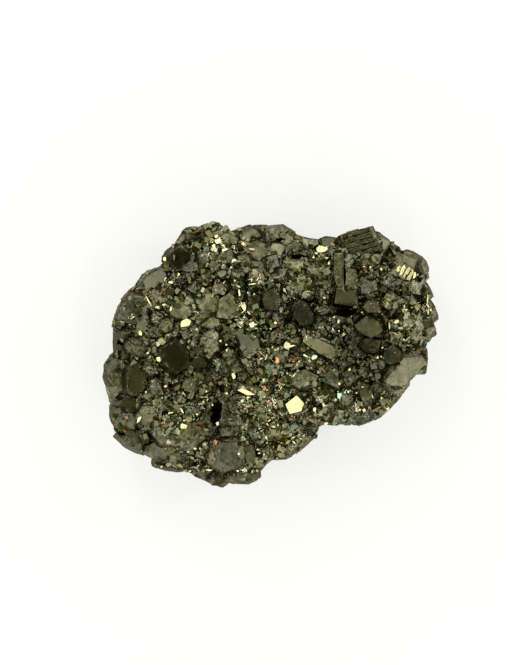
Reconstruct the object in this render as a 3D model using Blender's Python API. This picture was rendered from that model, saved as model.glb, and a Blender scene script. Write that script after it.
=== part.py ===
"""Pyrite cluster: brassy crystals of one mineral, grown into each other on a rounded mass.

The specimen lies on its flat side, with +Z up and the origin under the middle of it. X runs along its
length. Each crystal is a block trimmed by flat planes, in the way that crystal faces end a crystal,
and everything is then joined into one solid.
"""

import math
import random
from collections import namedtuple

import bmesh
import bpy
from mathutils import Matrix, Vector

MM = 0.001

# Driving dimensions of the mass, in millimetres.
WAIST_Z = 11.5  # height at which the mass is widest
CROWN_RISE = 13.4  # from the waist to the top of the mass
BASE_DROP = 14.5  # from the waist to the bottom of the mass, before the flat side is cut
FULLNESS = 2.6  # 2 would be an ellipsoid, more is boxier
CORE_INSET = 1.3  # the mass stays this far inside the plan outline, and crystals fill the rest
CROWN_LEVEL = 3  # subdivisions of the sphere that the mass starts from

# Plan outline of the specimen in millimetres, clockwise from its left end.
OUTLINE = [
    (-33.2, -4.4), (-33.0, -1.4), (-32.4, 0.4), (-31.2, 2.6), (-31.4, 5.8), (-30.4, 9.2), (-29.8, 10.8),
    (-27.8, 12.8), (-26.4, 13.8), (-25.6, 15.2), (-22.8, 17.4), (-21.4, 20.0), (-20.2, 20.8), (-19.0, 22.6),
    (-16.8, 25.2), (-14.8, 25.6), (-11.0, 26.4), (-9.6, 25.6), (-7.6, 24.4), (-6.0, 25.2), (-4.0, 25.8),
    (-0.4, 25.8), (2.0, 26.2), (4.0, 25.0), (6.0, 23.4), (9.6, 22.8), (10.4, 23.4), (14.0, 23.4),
    (15.6, 24.4), (18.4, 25.0), (23.2, 24.0), (24.0, 22.2), (28.0, 20.8), (31.6, 18.6), (32.2, 16.0),
    (31.2, 14.2), (32.0, 13.2), (33.0, 10.8), (33.6, 6.4), (33.2, 4.2), (31.2, 1.6), (31.6, -0.8),
    (31.0, -4.2), (27.2, -7.0), (24.0, -11.2), (22.4, -12.6), (18.2, -14.4), (12.0, -14.2), (10.0, -13.8),
    (9.2, -16.6), (6.0, -19.4), (5.0, -21.0), (0.0, -21.2), (-1.0, -22.0), (-1.8, -25.0), (-4.0, -26.0),
    (-7.4, -26.6), (-12.0, -26.2), (-13.0, -25.2), (-17.2, -23.4), (-21.0, -24.0), (-24.2, -22.2),
    (-25.6, -20.0), (-28.6, -18.6), (-32.0, -15.4), (-32.0, -10.6), (-33.0, -5.4),
]

# Broad rises and hollows of the top: place, reach and height in millimetres.
SWELLS = [
    (-12.0, 21.0, 6.0, 1.8),
    (-26.5, 8.0, 6.0, 1.6),
    (-17.5, -15.0, 7.5, 2.2),
    (26.0, 16.0, 7.0, 1.6),
    (18.0, 20.0, 5.0, 1.6),
    (24.0, -3.0, 6.0, 1.0),
    (-8.5, -20.0, 5.0, 1.8),
    (-18.5, -1.0, 5.0, 1.2),
    (3.0, 6.0, 9.0, 0.8),
    (-10.0, -11.0, 4.0, -2.4),
    (14.5, 7.5, 4.5, -2.2),
    (6.0, 18.5, 5.0, -1.4),
    (-22.0, -9.0, 4.0, -1.4),
    (0.0, -15.0, 5.0, -1.0),
    (-14.0, 13.5, 4.0, -1.0),
]

# One flat crystal face that looks up out of the specimen, with the crystal that carries it:
# where its middle is, its width and height along its own edges, its number of sides, how far the
# crystal is spun about the face, how far the face is tilted and towards which compass angle,
# how far it stands over the mass, how far its walls spread, and how much its shoulders are rounded.
Face = namedtuple(
    "Face", "x y w h sides spin tilt lean lift spread rounding",
    defaults=(4, 0.0, 0.0, 0.0, 1.0, 14.0, 0.0),
)

# The faces that make up the top, in bands from the upper left to the bottom.
UPPER_LEFT = [
    Face(-17.0, 23.0, 3.0, 3.4, 5, 10, 30, 130),
    Face(-17.8, 18.6, 4.4, 5.4, 6, 5, 4, 200, 1.4),
    Face(-22.6, 15.2, 3.4, 2.8, 5, -10, 38, 135),
    Face(-25.4, 13.4, 2.2, 2.4, 4, 30, 48, 140, 0.6),
    Face(-9.8, 22.6, 7.0, 5.6, 7, 0, 24, 95, 1.2, 22.0, 0.5),
    Face(-13.0, 19.2, 2.2, 4.0, 4, 8, 6, 270, 1.0),
    Face(-10.6, 17.8, 2.8, 3.2, 5, 20, 5, 300, 0.9),
    Face(-8.0, 18.6, 2.0, 3.0, 4, 20, 18, 330, 0.9),
    Face(-14.8, 24.0, 3.8, 3.4, 5, 0, 36, 110, 0.8),
    Face(-12.0, 25.0, 3.8, 2.6, 5, 0, 44, 95, 0.8),
]
UPPER_MIDDLE = [
    Face(-4.0, 23.6, 4.8, 3.4, 5, 15, 38, 100, 0.7),
    Face(-2.6, 20.6, 5.0, 3.8, 6, 0, 18, 80, 0.9),
    Face(-5.0, 18.4, 2.6, 2.2, 5, 0, 12, 280, 0.8),
    Face(1.6, 24.2, 5.2, 3.4, 7, 0, 34, 88, 0.7, 24.0, 0.5),
    Face(1.4, 20.6, 2.6, 3.0, 4, -25, 28, 60, 1.0),
    Face(-2.6, 15.0, 4.2, 4.6, 7, 0, 6, 40, 1.2, 24.0, 0.6),
    Face(5.6, 22.0, 4.6, 4.0, 5, 10, 28, 75, 0.9),
    Face(5.4, 17.0, 5.4, 2.8, 4, 0, 18, 245, 0.9),
    Face(10.4, 20.9, 2.4, 1.6, 4, -4, 23, 115, 1.6),
    Face(12.6, 21.8, 4.4, 2.8, 4, 0, 26, 85, 1.2),
    Face(9.5, 15.8, 4.4, 2.4, 4, 0, 18, 245, 1.2),
]
UPPER_RIGHT = [
    Face(22.0, 23.2, 3.8, 3.2, 5, 20, 38, 80, 0.8),
    Face(22.6, 19.6, 2.8, 2.6, 4, 35, 20, 20, 0.6),
    Face(13.6, 16.4, 2.0, 7.2, 4, 0, 10, 180, 1.3),
    Face(15.9, 18.4, 2.0, 2.8, 4, -10, 38, 350, 1.0),
    Face(16.2, 14.8, 2.6, 4.0, 4, -6, 12, 0, 1.0),
    Face(19.4, 18.2, 5.4, 3.2, 5, 10, 20, 260, 1.3),
    Face(24.9, 20.6, 2.8, 2.6, 7, 0, 30, 70, 0.7, 24.0, 0.5),
    Face(29.4, 18.0, 7.0, 5.2, 8, -35, 28, 38, 1.1, 26.0, 0.7),
    Face(26.8, 15.6, 3.6, 2.4, 6, -15, 20, 290, 2.0),
    Face(29.8, 12.6, 3.2, 2.2, 7, 0, 30, 10, 0.7, 24.0, 0.5),
    Face(27.0, 13.0, 2.4, 2.8, 5, 0, 20, 200, 0.9),
    Face(19.4, 13.4, 3.0, 3.0, 6, 12, 10, 90, 0.9),
    Face(23.0, 14.6, 2.8, 2.6, 5, 30, 24, 160, 0.8),
]
RIGHT = [
    Face(23.6, 10.6, 2.6, 3.4, 4, -40, 23, 115, 1.8),
    Face(27.6, 10.8, 3.0, 3.2, 3, 15, 25, 45, 1.2),
    Face(25.0, 5.8, 2.6, 2.4, 4, 20, 23, 115, 1.3),
    Face(27.8, 6.2, 2.4, 2.2, 5, 0, 28, 20, 1.0),
    Face(31.4, 9.6, 4.0, 4.6, 7, 0, 42, 10, 0.8, 22.0, 0.5),
    Face(31.6, 5.0, 3.0, 3.6, 5, 0, 40, 0, 0.6),
    Face(30.8, 2.8, 3.4, 3.0, 6, 0, 36, 350, 1.0, 22.0, 0.4),
    Face(19.6, 5.2, 5.4, 3.6, 6, 8, 14, 250, 1.8),
    Face(15.2, 11.2, 4.6, 3.2, 4, -8, 12, 90, 1.8),
    Face(19.8, 1.8, 4.4, 2.8, 5, 0, 8, 270, 1.0),
    Face(20.2, 9.4, 3.2, 2.8, 5, 0, 16, 30, 1.0),
    Face(24.0, -0.2, 3.8, 3.8, 6, 0, 4, 0, 1.2),
    Face(27.6, 0.6, 3.2, 3.0, 5, 10, 24, 20, 1.0),
    Face(27.2, -3.4, 10.6, 5.4, 6, 30, 38, 318, 1.2),
    Face(21.6, -6.2, 2.8, 2.8, 4, 15, 28, 20, 0.9),
    Face(22.4, -10.6, 4.8, 4.0, 6, 0, 42, 305, 1.0),
    Face(19.0, -7.4, 3.0, 4.0, 5, 0, 5, 0, 1.0),
    Face(17.4, -13.0, 4.2, 2.8, 5, 0, 44, 275, 0.9),
    Face(13.2, -12.4, 3.8, 3.2, 5, 20, 40, 270, 0.8),
]
LEFT = [
    Face(-27.0, 8.6, 7.6, 7.0, 8, 10, 12, 160, 1.2, 26.0, 0.46),
    Face(-28.6, 5.4, 3.4, 2.0, 5, 0, 40, 255, 0.8),
    Face(-18.2, 9.2, 6.4, 4.2, 6, -35, 16, 60, 1.3),
    Face(-16.6, 6.0, 2.4, 2.0, 5, 0, 23, 115, 1.4),
    Face(-20.6, 5.4, 3.2, 2.6, 5, 0, 14, 260, 0.8),
    Face(-25.6, 1.6, 6.2, 4.4, 7, 0, 10, 100, 0.9, 22.0, 0.5),
    Face(-18.6, -0.8, 4.8, 6.6, 6, 10, 3, 0, 1.8),
    Face(-26.4, -4.8, 3.6, 7.4, 6, -4, 7, 0, 1.6),
    Face(-29.4, -4.4, 2.0, 6.4, 4, 0, 42, 180, 0.6),
    Face(-31.6, -2.2, 2.8, 4.2, 5, 0, 48, 176, 0.6),
    Face(-31.0, -7.6, 3.4, 4.6, 7, 0, 44, 190, 0.5, 24.0, 0.6),
    Face(-28.0, -10.2, 3.4, 3.2, 5, 0, 8, 200, 0.8),
    Face(-28.8, -14.0, 6.4, 4.6, 6, 35, 34, 222, 0.8, 18.0, 0.4),
    Face(-23.8, -12.0, 5.4, 4.4, 5, 0, 18, 230, 1.0),
    Face(-23.2, -2.6, 2.8, 3.2, 5, 25, 20, 60, 0.8),
    Face(-21.2, -9.8, 3.6, 3.0, 4, 25, 16, 120, 0.7),
    Face(-22.4, 11.4, 3.0, 3.0, 5, 10, 20, 150, 0.8),
    Face(-22.2, 7.2, 2.4, 2.8, 5, 15, 14, 70, 0.8),
    Face(-22.8, 4.4, 2.6, 2.4, 5, 0, 16, 210, 0.8),
    Face(-21.6, 1.6, 2.4, 2.8, 5, 30, 12, 20, 0.8),
]
CENTRE = [
    Face(-12.2, 9.8, 5.2, 5.2, 7, 0, 11, 200, 0.8, 18.0, 0.3),
    Face(-8.2, 9.4, 4.2, 4.6, 6, 0, 12, 30, 0.8),
    Face(-3.2, 9.8, 2.2, 3.4, 4, 0, 3, 0, 1.0),
    Face(-11.3, 5.9, 3.4, 2.2, 5, 0, 8, 270, 0.9),
    Face(-11.6, 2.2, 3.8, 4.8, 6, -8, 20, 150, 1.5),
    Face(-4.0, 2.2, 3.6, 4.6, 4, 17, 20, 70, 1.9, 4.0),
    Face(-8.8, -2.6, 2.0, 3.2, 4, 0, 40, 0, 1.0),
    Face(-14.2, -1.8, 3.4, 2.4, 5, 0, 5, 0, 0.9),
    Face(0.4, 10.8, 3.4, 4.4, 6, 0, 5, 120, 1.0),
    Face(6.4, 7.8, 4.8, 4.0, 7, -40, 4, 0, 1.5),
    Face(10.6, 11.8, 1.6, 2.6, 4, 0, 28, 20, 1.2),
    Face(10.6, 8.8, 2.6, 2.6, 5, 0, 6, 0, 0.8),
    Face(9.8, 1.4, 7.0, 2.6, 4, -24, 18, 246, 2.2, 6.0),
    Face(10.3, 2.7, 7.0, 1.2, 4, -24, 38, 66, 2.3, 6.0),
    Face(12.4, 3.6, 4.0, 2.4, 5, -20, 5, 60, 1.0),
    Face(6.0, -4.6, 6.4, 3.4, 6, 0, 14, 100, 1.0),
    Face(4.8, -1.6, 2.8, 2.6, 5, 0, 10, 180, 0.9),
    Face(5.4, -7.4, 2.4, 2.8, 5, 0, 20, 0, 1.0),
    Face(5.0, -10.4, 3.6, 3.4, 7, 20, 20, 290, 2.0, 8.0),
    Face(9.8, -7.9, 3.2, 2.8, 5, 0, 12, 60, 0.9),
    Face(12.4, -5.0, 3.6, 2.8, 3, 10, 5, 0, 1.2),
    Face(-6.0, -9.8, 5.0, 4.4, 6, 10, 12, 210, 1.3),
    Face(-4.2, -6.8, 4.2, 1.5, 4, -15, 23, 115, 1.8),
    Face(1.2, 3.4, 3.0, 2.6, 5, 40, 22, 200, 0.9),
    Face(2.2, -0.4, 2.6, 2.8, 4, 15, 18, 335, 0.9),
    Face(-0.8, -4.0, 2.8, 2.6, 5, 30, 24, 30, 0.8),
    Face(-15.6, -6.2, 3.0, 3.0, 5, 15, 20, 50, 0.8),
    Face(-15.0, -10.4, 3.2, 2.8, 4, 30, 20, 60, 0.8),
    Face(15.0, 0.0, 2.6, 2.8, 5, 5, 24, 330, 0.8),
    Face(15.6, -4.4, 3.0, 2.8, 4, 40, 22, 200, 0.8),
    Face(15.4, -8.6, 3.0, 3.0, 5, 0, 28, 340, 0.8),
    Face(5.0, 12.6, 3.2, 3.0, 5, 10, 22, 20, 0.7),
    Face(9.6, 5.0, 2.4, 2.4, 4, 20, 26, 110, 0.7),
    Face(-1.6, -10.0, 2.6, 2.6, 5, 10, 32, 50, 0.8),
    Face(1.6, -8.6, 2.6, 2.2, 4, 35, 34, 345, 0.8),
    Face(-2.2, -12.8, 2.8, 2.4, 5, 0, 12, 130, 0.8),
    Face(2.2, -11.0, 2.2, 2.4, 4, 15, 30, 150, 0.8),
    Face(0.8, -6.4, 2.4, 2.4, 5, 0, 26, 150, 0.8),
    Face(-3.6, -2.2, 2.2, 2.6, 4, 25, 30, 320, 0.8),
]
LOWER = [
    Face(-17.6, -15.8, 11.8, 7.0, 8, -6, 9, 250, 1.3, 30.0, 0.5),
    Face(-20.4, -20.6, 10.6, 4.4, 7, -10, 36, 252, 0.9, 16.0, 0.4),
    Face(-13.0, -18.6, 2.4, 2.2, 4, 10, 30, 190, 1.4),
    Face(-8.8, -19.2, 4.4, 4.2, 6, 10, 5, 60, 2.6, 40.0),
    Face(-7.8, -15.2, 3.8, 1.8, 4, 10, 30, 60, 1.0),
    Face(-4.2, -19.4, 3.2, 3.6, 5, 0, 12, 340, 1.2),
    Face(-2.6, -21.6, 3.4, 2.4, 5, 0, 38, 290, 0.8),
    Face(-6.4, -24.4, 9.4, 3.4, 6, -4, 38, 272, 0.9),
    Face(-13.4, -23.6, 4.4, 3.0, 5, 0, 42, 255, 0.8),
    Face(-3.4, -24.2, 3.4, 3.4, 5, 0, 44, 300, 1.0),
    Face(6.6, -17.2, 5.0, 4.2, 5, 45, 32, 300, 0.9),
    Face(2.6, -18.8, 4.0, 3.0, 5, 0, 38, 280, 0.8),
    Face(-3.0, -15.6, 3.0, 3.0, 5, 20, 18, 200, 0.8),
    Face(1.0, -13.2, 3.0, 3.0, 5, 10, 24, 60, 0.8),
    Face(8.6, -13.6, 3.0, 3.2, 5, 20, 36, 300, 0.7),
    Face(-28.0, -16.6, 4.0, 3.0, 5, 20, 42, 235, 0.6),
]

FACES = UPPER_LEFT + UPPER_MIDDLE + UPPER_RIGHT + RIGHT + LEFT + CENTRE + LOWER

# The crystal with steps along it at the upper right: place, length, width and compass angle of the
# steps in millimetres and degrees, and how far its face is tilted and towards which angle.
STEPPED_PLACE = (17.9, 22.0)
STEPPED_LENGTH = 7.0
STEPPED_WIDTH = 5.8
STEPPED_SPIN = 17.0
STEPPED_TILT = (26.0, 95.0)
STEPPED_LIFT = 2.3
STEP_COUNT = 5
STEP_THICKNESS = 0.62
STEP_SLANT = 32.0

# Cavities between the crystals: middle, width, height, spin and depth in millimetres and degrees.
CAVITIES = [
    (2.0, 22.6, 3.4, 1.8, 10.0, 3.0),
    (5.6, 19.3, 4.8, 1.3, 0.0, 2.6),
    (-13.6, 21.6, 1.0, 2.6, 15.0, 2.4),
    (14.75, 16.0, 0.7, 6.6, 0.0, 3.0),
    (24.2, 17.2, 1.5, 2.6, 25.0, 2.8),
    (29.6, 14.7, 1.6, 1.4, 0.0, 3.2),
    (30.2, 10.4, 1.6, 2.8, 0.0, 3.4),
    (15.0, 8.2, 5.2, 2.2, 5.0, 4.0),
    (16.6, -1.9, 1.8, 1.8, 20.0, 3.0),
    (-29.8, 2.2, 1.7, 1.4, 30.0, 3.0),
    (-19.6, -6.4, 1.6, 3.2, 10.0, 3.4),
    (-15.4, -4.0, 2.4, 1.6, 20.0, 2.8),
    (-8.3, 5.9, 2.8, 1.3, 0.0, 3.0),
    (-6.75, 1.9, 0.9, 3.0, 17.0, 3.4),
    (-1.35, 3.2, 0.8, 3.0, 17.0, 3.4),
    (7.6, -9.4, 1.2, 3.0, -10.0, 3.2),
    (-6.5, -4.2, 1.0, 2.2, -15.0, 3.0),
    (-10.6, -11.4, 2.6, 5.6, -12.0, 4.6),
    (5.8, -13.7, 1.4, 1.6, 0.0, 2.8),
    (-9.2, -16.7, 3.2, 0.9, 5.0, 2.8),
    (0.4, -17.2, 1.4, 1.2, 0.0, 2.6),
    (-30.0, -15.4, 3.0, 0.9, -30.0, 2.0),
    (17.2, -10.6, 1.5, 1.0, 0.0, 2.6),
]

CUTTER_CLEARANCE = 5.0  # how far a cutter stands up over the mass

# Crystals that nobody placed by hand grow in rings round the sides: height, size range and count.
RINGS = [
    (15.0, (4.6, 6.8), 32),
    (9.0, (5.2, 7.6), 22),
    (3.6, (4.8, 6.8), 18),
]
RING_SINK = 0.42  # share of its size that a ring crystal's middle lies inside the outline
RING_SCATTER = 1.2
SKIRT = 1.6  # how far the walls of a wide-spreading crystal reach past its face
WIDE_SPREAD = 30.0
BOULDER_FACETS = 17
# How uneven the sides of a placed face are, for rectangles and for the others, and the face that
# takes one corner off: its slope in degrees, and its distance as a share of the face's size.
RECTANGLE_UNEVEN = 0.05
FACE_UNEVEN = 0.34
CORNER_SLOPE = (30, 54)
CORNER_REACH = (0.40, 0.46)
BLOCK_SIZE = 60.0  # larger than any crystal, so that its planes alone end it
OVERRUN = 0.8  # how far a crystal may pass the plan outline before it is trimmed to it
# Small crystals fill the top between the large faces.
FILL_COUNT = 50
FILL_SIZE = (1.7, 2.9)
SEED = 7
KEPT_SHARE = 0.8  # share of the triangles kept when the slivers between crystals are thinned out


def outline_reach(angle):
    """Distance from the middle to the plan outline at a compass angle in radians."""
    direction = Vector((math.cos(angle), math.sin(angle)))
    for start, end in zip(OUTLINE, OUTLINE[1:] + OUTLINE[:1]):
        a = Vector(start)
        edge = Vector(end) - a
        across = direction.cross(edge)
        if abs(across) < 1e-9:
            continue
        along = a.cross(edge) / across
        share = a.cross(direction) / across
        if along > 0 and -1e-6 <= share <= 1 + 1e-6:
            return along
    raise ValueError("the outline doesn't go round the middle")


def outline_point(angle):
    return Vector((math.cos(angle), math.sin(angle), 0)) * outline_reach(angle)


def swell(x, y):
    """Height that the broad rises and hollows add at a place."""
    return sum(
        height * math.exp(-((x - cx) ** 2 + (y - cy) ** 2) / reach**2)
        for cx, cy, reach, height in SWELLS
    )


def top_height(x, y):
    """Height of the top of the mass over a place, without any crystal."""
    reach = outline_reach(math.atan2(y, x)) - CORE_INSET
    share = min(math.hypot(x, y) / reach, 0.985)
    rise = (1 - share**FULLNESS) ** (1 / FULLNESS)
    return WAIST_Z + rise * (CROWN_RISE + swell(x, y))


def make_mass():
    """The rounded mass under the crystals, as a mesh in millimetres."""
    bm = bmesh.new()
    bmesh.ops.create_icosphere(bm, subdivisions=CROWN_LEVEL, radius=1.0)
    for vert in bm.verts:
        flat = math.hypot(vert.co.x, vert.co.y)
        angle = math.atan2(vert.co.y, vert.co.x)
        reach = (outline_reach(angle) - CORE_INSET) * flat ** (2 / FULLNESS)
        x = reach * math.cos(angle)
        y = reach * math.sin(angle)
        level = abs(vert.co.z) ** (2 / FULLNESS)
        if vert.co.z > 0:
            z = WAIST_Z + level * (CROWN_RISE + swell(x, y))
        else:
            z = WAIST_Z - level * BASE_DROP
        vert.co = (x, y, z)
    return bm


def trim(bm, normal, distance):
    """Cuts away everything past a plane, and closes the cut with a flat face."""
    geometry = bm.verts[:] + bm.edges[:] + bm.faces[:]
    cut = bmesh.ops.bisect_plane(
        bm, geom=geometry, dist=1e-5, plane_co=normal * distance, plane_no=normal, clear_outer=True
    )
    edges = [item for item in cut["geom_cut"] if isinstance(item, bmesh.types.BMEdge)]
    if edges:
        bmesh.ops.edgeloop_fill(bm, edges=edges)


def block(size):
    """A cube to trim, with its middle at the origin."""
    bm = bmesh.new()
    bmesh.ops.create_cube(bm, size=size)
    return bm


def faced_crystal(face, depth, rng):
    """A crystal hanging down from one flat face, which lies at the origin and looks along +Z."""
    bm = block(BLOCK_SIZE)
    trim(bm, Vector((0, 0, 1)), 0.0)
    trim(bm, Vector((0, 0, -1)), depth)
    irregular = RECTANGLE_UNEVEN if face.sides == 4 else FACE_UNEVEN
    fit = 1.0 if face.sides == 4 else (1 + math.cos(math.pi / face.sides)) / 2
    for side in range(face.sides):
        turn = math.tau * side / face.sides + rng.uniform(-irregular, irregular)
        outward = Vector((math.cos(turn) / face.w, math.sin(turn) / face.h, 0)).normalized()
        reach = fit * math.hypot(outward.x * face.w, outward.y * face.h) / 2
        reach *= 1 + rng.uniform(-irregular, irregular) / 2
        spread = math.radians(face.spread * rng.uniform(0.7, 1.3))
        normal = outward * math.cos(spread) + Vector((0, 0, math.sin(spread)))
        trim(bm, normal, reach * math.cos(spread))
        if face.spread > WIDE_SPREAD:
            trim(bm, outward, reach + SKIRT)
    if face.sides > 3:
        corner = rng.uniform(0, math.tau)
        slope = math.radians(rng.uniform(*CORNER_SLOPE))
        outward = Vector((math.cos(corner), math.sin(corner), 0))
        reach = rng.uniform(*CORNER_REACH) * math.hypot(outward.x * face.w, outward.y * face.h)
        normal = outward * math.cos(slope) + Vector((0, 0, math.sin(slope)))
        trim(bm, normal, reach * math.cos(slope))
    return bm


def boulder(face, depth, rng):
    """A rounded lump with its top at the origin: flat facets at many angles round an ellipsoid."""
    bm = block(BLOCK_SIZE)
    radii = Vector((face.w / 2, face.h / 2, face.rounding * min(face.w, face.h) / 2))
    middle = Vector((0, 0, -radii.z))
    trim(bm, Vector((0, 0, -1)), depth)
    for index in range(BOULDER_FACETS):
        height = 1 - (index + 0.5) / BOULDER_FACETS * 0.96
        turn = index * math.radians(137.5) + rng.uniform(-0.3, 0.3)
        flat = math.sqrt(1 - height**2)
        normal = Vector((flat * math.cos(turn), flat * math.sin(turn), height))
        support = Vector(a * b for a, b in zip(normal, radii)).length
        trim(bm, normal, support * rng.uniform(0.9, 1.03) + normal.dot(middle))
    return bm


def loose_crystal(size, rng):
    """A whole crystal about its middle: a cube with pyritohedron and octahedron faces on it."""
    bm = block(size)
    half = size / 2
    for a in (-1, 1):
        for b in (-1, 1):
            for normal in ((0, a, 2 * b), (a, 2 * b, 0), (2 * b, 0, a)):
                if rng.random() < 0.3:
                    trim(bm, Vector(normal).normalized(), half * rng.uniform(0.94, 1.12))
    for a in (-1, 1):
        for b in (-1, 1):
            for c in (-1, 1):
                if rng.random() < 0.35:
                    trim(bm, Vector((a, b, c)).normalized(), half * rng.uniform(1.15, 1.5))
    stretch = Vector((rng.uniform(0.85, 1.15), rng.uniform(0.85, 1.15), rng.uniform(0.85, 1.15)))
    bmesh.ops.scale(bm, vec=stretch, verts=bm.verts)
    return bm


def facing(spin, tilt, lean):
    """Rotation that spins a face about itself, then tilts it towards a compass angle, in degrees."""
    spin, tilt, lean = math.radians(spin), math.radians(tilt), math.radians(lean)
    return (
        Matrix.Rotation(lean, 4, "Z")
        @ Matrix.Rotation(tilt, 4, "Y")
        @ Matrix.Rotation(spin - lean, 4, "Z")
    )


def placed_faces():
    """The crystals of the hand-placed faces, each irregular in its own way wherever the others are."""
    crystals = []
    for face in FACES:
        rng = random.Random(f"{SEED} {face.x} {face.y}")
        depth = 3.6 + 0.5 * max(face.w, face.h)
        bm = boulder(face, depth, rng) if face.rounding else faced_crystal(face, depth, rng)
        spot = Vector((face.x, face.y, top_height(face.x, face.y) + face.lift))
        bm.transform(Matrix.Translation(spot) @ facing(face.spin, face.tilt, face.lean))
        trim_to_outline(bm, rng)
        crystals.append(bm)
    return crystals


def stepped_crystal():
    """The crystal whose face is broken into parallel growth steps: a block, and a bar for each step."""
    rng = random.Random(f"{SEED} steps")
    x, y = STEPPED_PLACE
    tilt, lean = STEPPED_TILT
    spot = Vector((x, y, top_height(x, y) + STEPPED_LIFT))
    place = Matrix.Translation(spot) @ facing(STEPPED_SPIN, tilt, lean)
    body = faced_crystal(Face(x, y, STEPPED_LENGTH, STEPPED_WIDTH, spread=10.0), 6.0, rng)
    pieces = [body]
    pitch = STEPPED_WIDTH / STEP_COUNT
    for step in range(STEP_COUNT):
        bar = bmesh.new()
        bmesh.ops.create_cube(bar, size=1.0)
        length = STEPPED_LENGTH * (1.0 - 0.05 * step) - 0.3
        bmesh.ops.scale(bar, vec=(length, STEP_THICKNESS, STEP_THICKNESS * 1.5), verts=bar.verts)
        across = (step + 0.5) * pitch - STEPPED_WIDTH / 2
        slant = Matrix.Rotation(math.radians(STEP_SLANT), 4, "X")
        bar.transform(Matrix.Translation((0.0, across, 0.0)) @ slant)
        pieces.append(bar)
    for piece in pieces:
        piece.transform(place)
    return pieces


def furthest_out(bm):
    """How far a crystal passes the plan outline, and the compass angle where it does so most."""
    overruns = []
    for vert in bm.verts:
        angle = math.atan2(vert.co.y, vert.co.x)
        overruns.append((math.hypot(vert.co.x, vert.co.y) - outline_reach(angle), angle))
    return max(overruns)


def move_inside(bm):
    """Moves a crystal in until it just passes the plan outline."""
    overrun, angle = furthest_out(bm)
    if overrun > OVERRUN:
        inward = Vector((-math.cos(angle), -math.sin(angle), 0))
        bmesh.ops.translate(bm, vec=inward * (overrun - OVERRUN), verts=bm.verts)


def trim_to_outline(bm, rng):
    """Trims off what passes the plan outline with a few flat, nearly upright faces."""
    glance = 0.02
    for _cut in range(4):
        overrun, angle = furthest_out(bm)
        if overrun < 0.1:
            return
        along = outline_point(angle + glance) - outline_point(angle - glance)
        normal = along.cross(Vector((0, 0, 1))).normalized()
        normal = (normal + Vector((0, 0, rng.uniform(0.0, 0.35)))).normalized()
        here = outline_point(angle)
        highest = max(vert.co.z for vert in bm.verts if vert.co.xy.length > here.length - 1.0)
        here.z = (WAIST_Z + highest) / 2
        trim(bm, normal, normal.dot(here))


def side_crystals():
    """Rings of crystals round the sides, each grown out to the plan outline or just short of it."""
    rng = random.Random(f"{SEED} sides")
    crystals = []
    for height, (smallest, largest), count in RINGS:
        drop = abs(height - WAIST_Z) / (CROWN_RISE if height > WAIST_Z else BASE_DROP)
        narrowing = (1 - drop**FULLNESS) ** (1 / FULLNESS)
        for index in range(count):
            angle = math.tau * (index + rng.uniform(-0.3, 0.3)) / count
            size = rng.uniform(smallest, largest)
            bm = loose_crystal(size, rng)
            turn = facing(rng.uniform(0, 90), rng.uniform(0, 50), rng.uniform(0, 360))
            reach = outline_reach(angle) * narrowing - RING_SINK * size
            spot = Vector((reach * math.cos(angle), reach * math.sin(angle), height))
            spot.z += rng.uniform(-RING_SCATTER, RING_SCATTER)
            bm.transform(Matrix.Translation(spot) @ turn)
            move_inside(bm)
            trim_to_outline(bm, rng)
            crystals.append(bm)
    return crystals


def fill_crystals():
    """Small crystals between the large faces of the top."""
    rng = random.Random(f"{SEED} fill")
    crystals = []
    taken = [(face.x, face.y, 0.32 * (face.w + face.h)) for face in FACES]
    taken.append((*STEPPED_PLACE, STEPPED_LENGTH / 2))
    taken += [(x, y, 0.5 * max(w, h)) for x, y, w, h, _spin, _depth in CAVITIES]
    tries = 0
    while len(crystals) < FILL_COUNT and tries < 6000:
        tries += 1
        angle = rng.uniform(0, math.tau)
        reach = outline_reach(angle) * 0.93 * math.sqrt(rng.random())
        x, y = reach * math.cos(angle), reach * math.sin(angle)
        size = rng.uniform(*FILL_SIZE)
        if any(math.hypot(x - cx, y - cy) < room + 0.35 * size for cx, cy, room in taken):
            continue
        taken.append((x, y, 0.5 * size))
        bm = loose_crystal(size, rng)
        turn = facing(rng.uniform(0, 90), rng.uniform(0, 54), rng.uniform(0, 360))
        spot = Vector((x, y, top_height(x, y) + 0.12 * size))
        bm.transform(Matrix.Translation(spot) @ turn)
        crystals.append(bm)
    return crystals


def cavity_cutters():
    """Crystal-shaped hollows that go down into the top."""
    cutters = []
    for x, y, width, height, spin, depth in CAVITIES:
        bm = bmesh.new()
        length = depth + CUTTER_CLEARANCE
        bmesh.ops.create_cone(bm, cap_ends=True, segments=5, radius1=0.16, radius2=0.72, depth=length)
        bmesh.ops.rotate(bm, matrix=Matrix.Rotation(x + y, 3, "Z"), verts=bm.verts)
        bmesh.ops.scale(bm, vec=(width, height, 1.0), verts=bm.verts)
        middle = top_height(x, y) - depth + length / 2
        bm.transform(Matrix.Translation((x, y, middle)) @ Matrix.Rotation(math.radians(spin), 4, "Z"))
        cutters.append(bm)
    return cutters


def add_object(name, bm, collection, scale=MM):
    """Puts a mesh made in millimetres into the scene as an object in metres."""
    bmesh.ops.recalc_face_normals(bm, faces=bm.faces)
    bm.transform(Matrix.Scale(scale, 4))
    mesh = bpy.data.meshes.new(name)
    bm.to_mesh(mesh)
    bm.free()
    obj = bpy.data.objects.new(name, mesh)
    collection.objects.link(obj)
    return obj


def new_collection(name):
    collection = bpy.data.collections.new(name)
    bpy.context.scene.collection.children.link(collection)
    return collection


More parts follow.
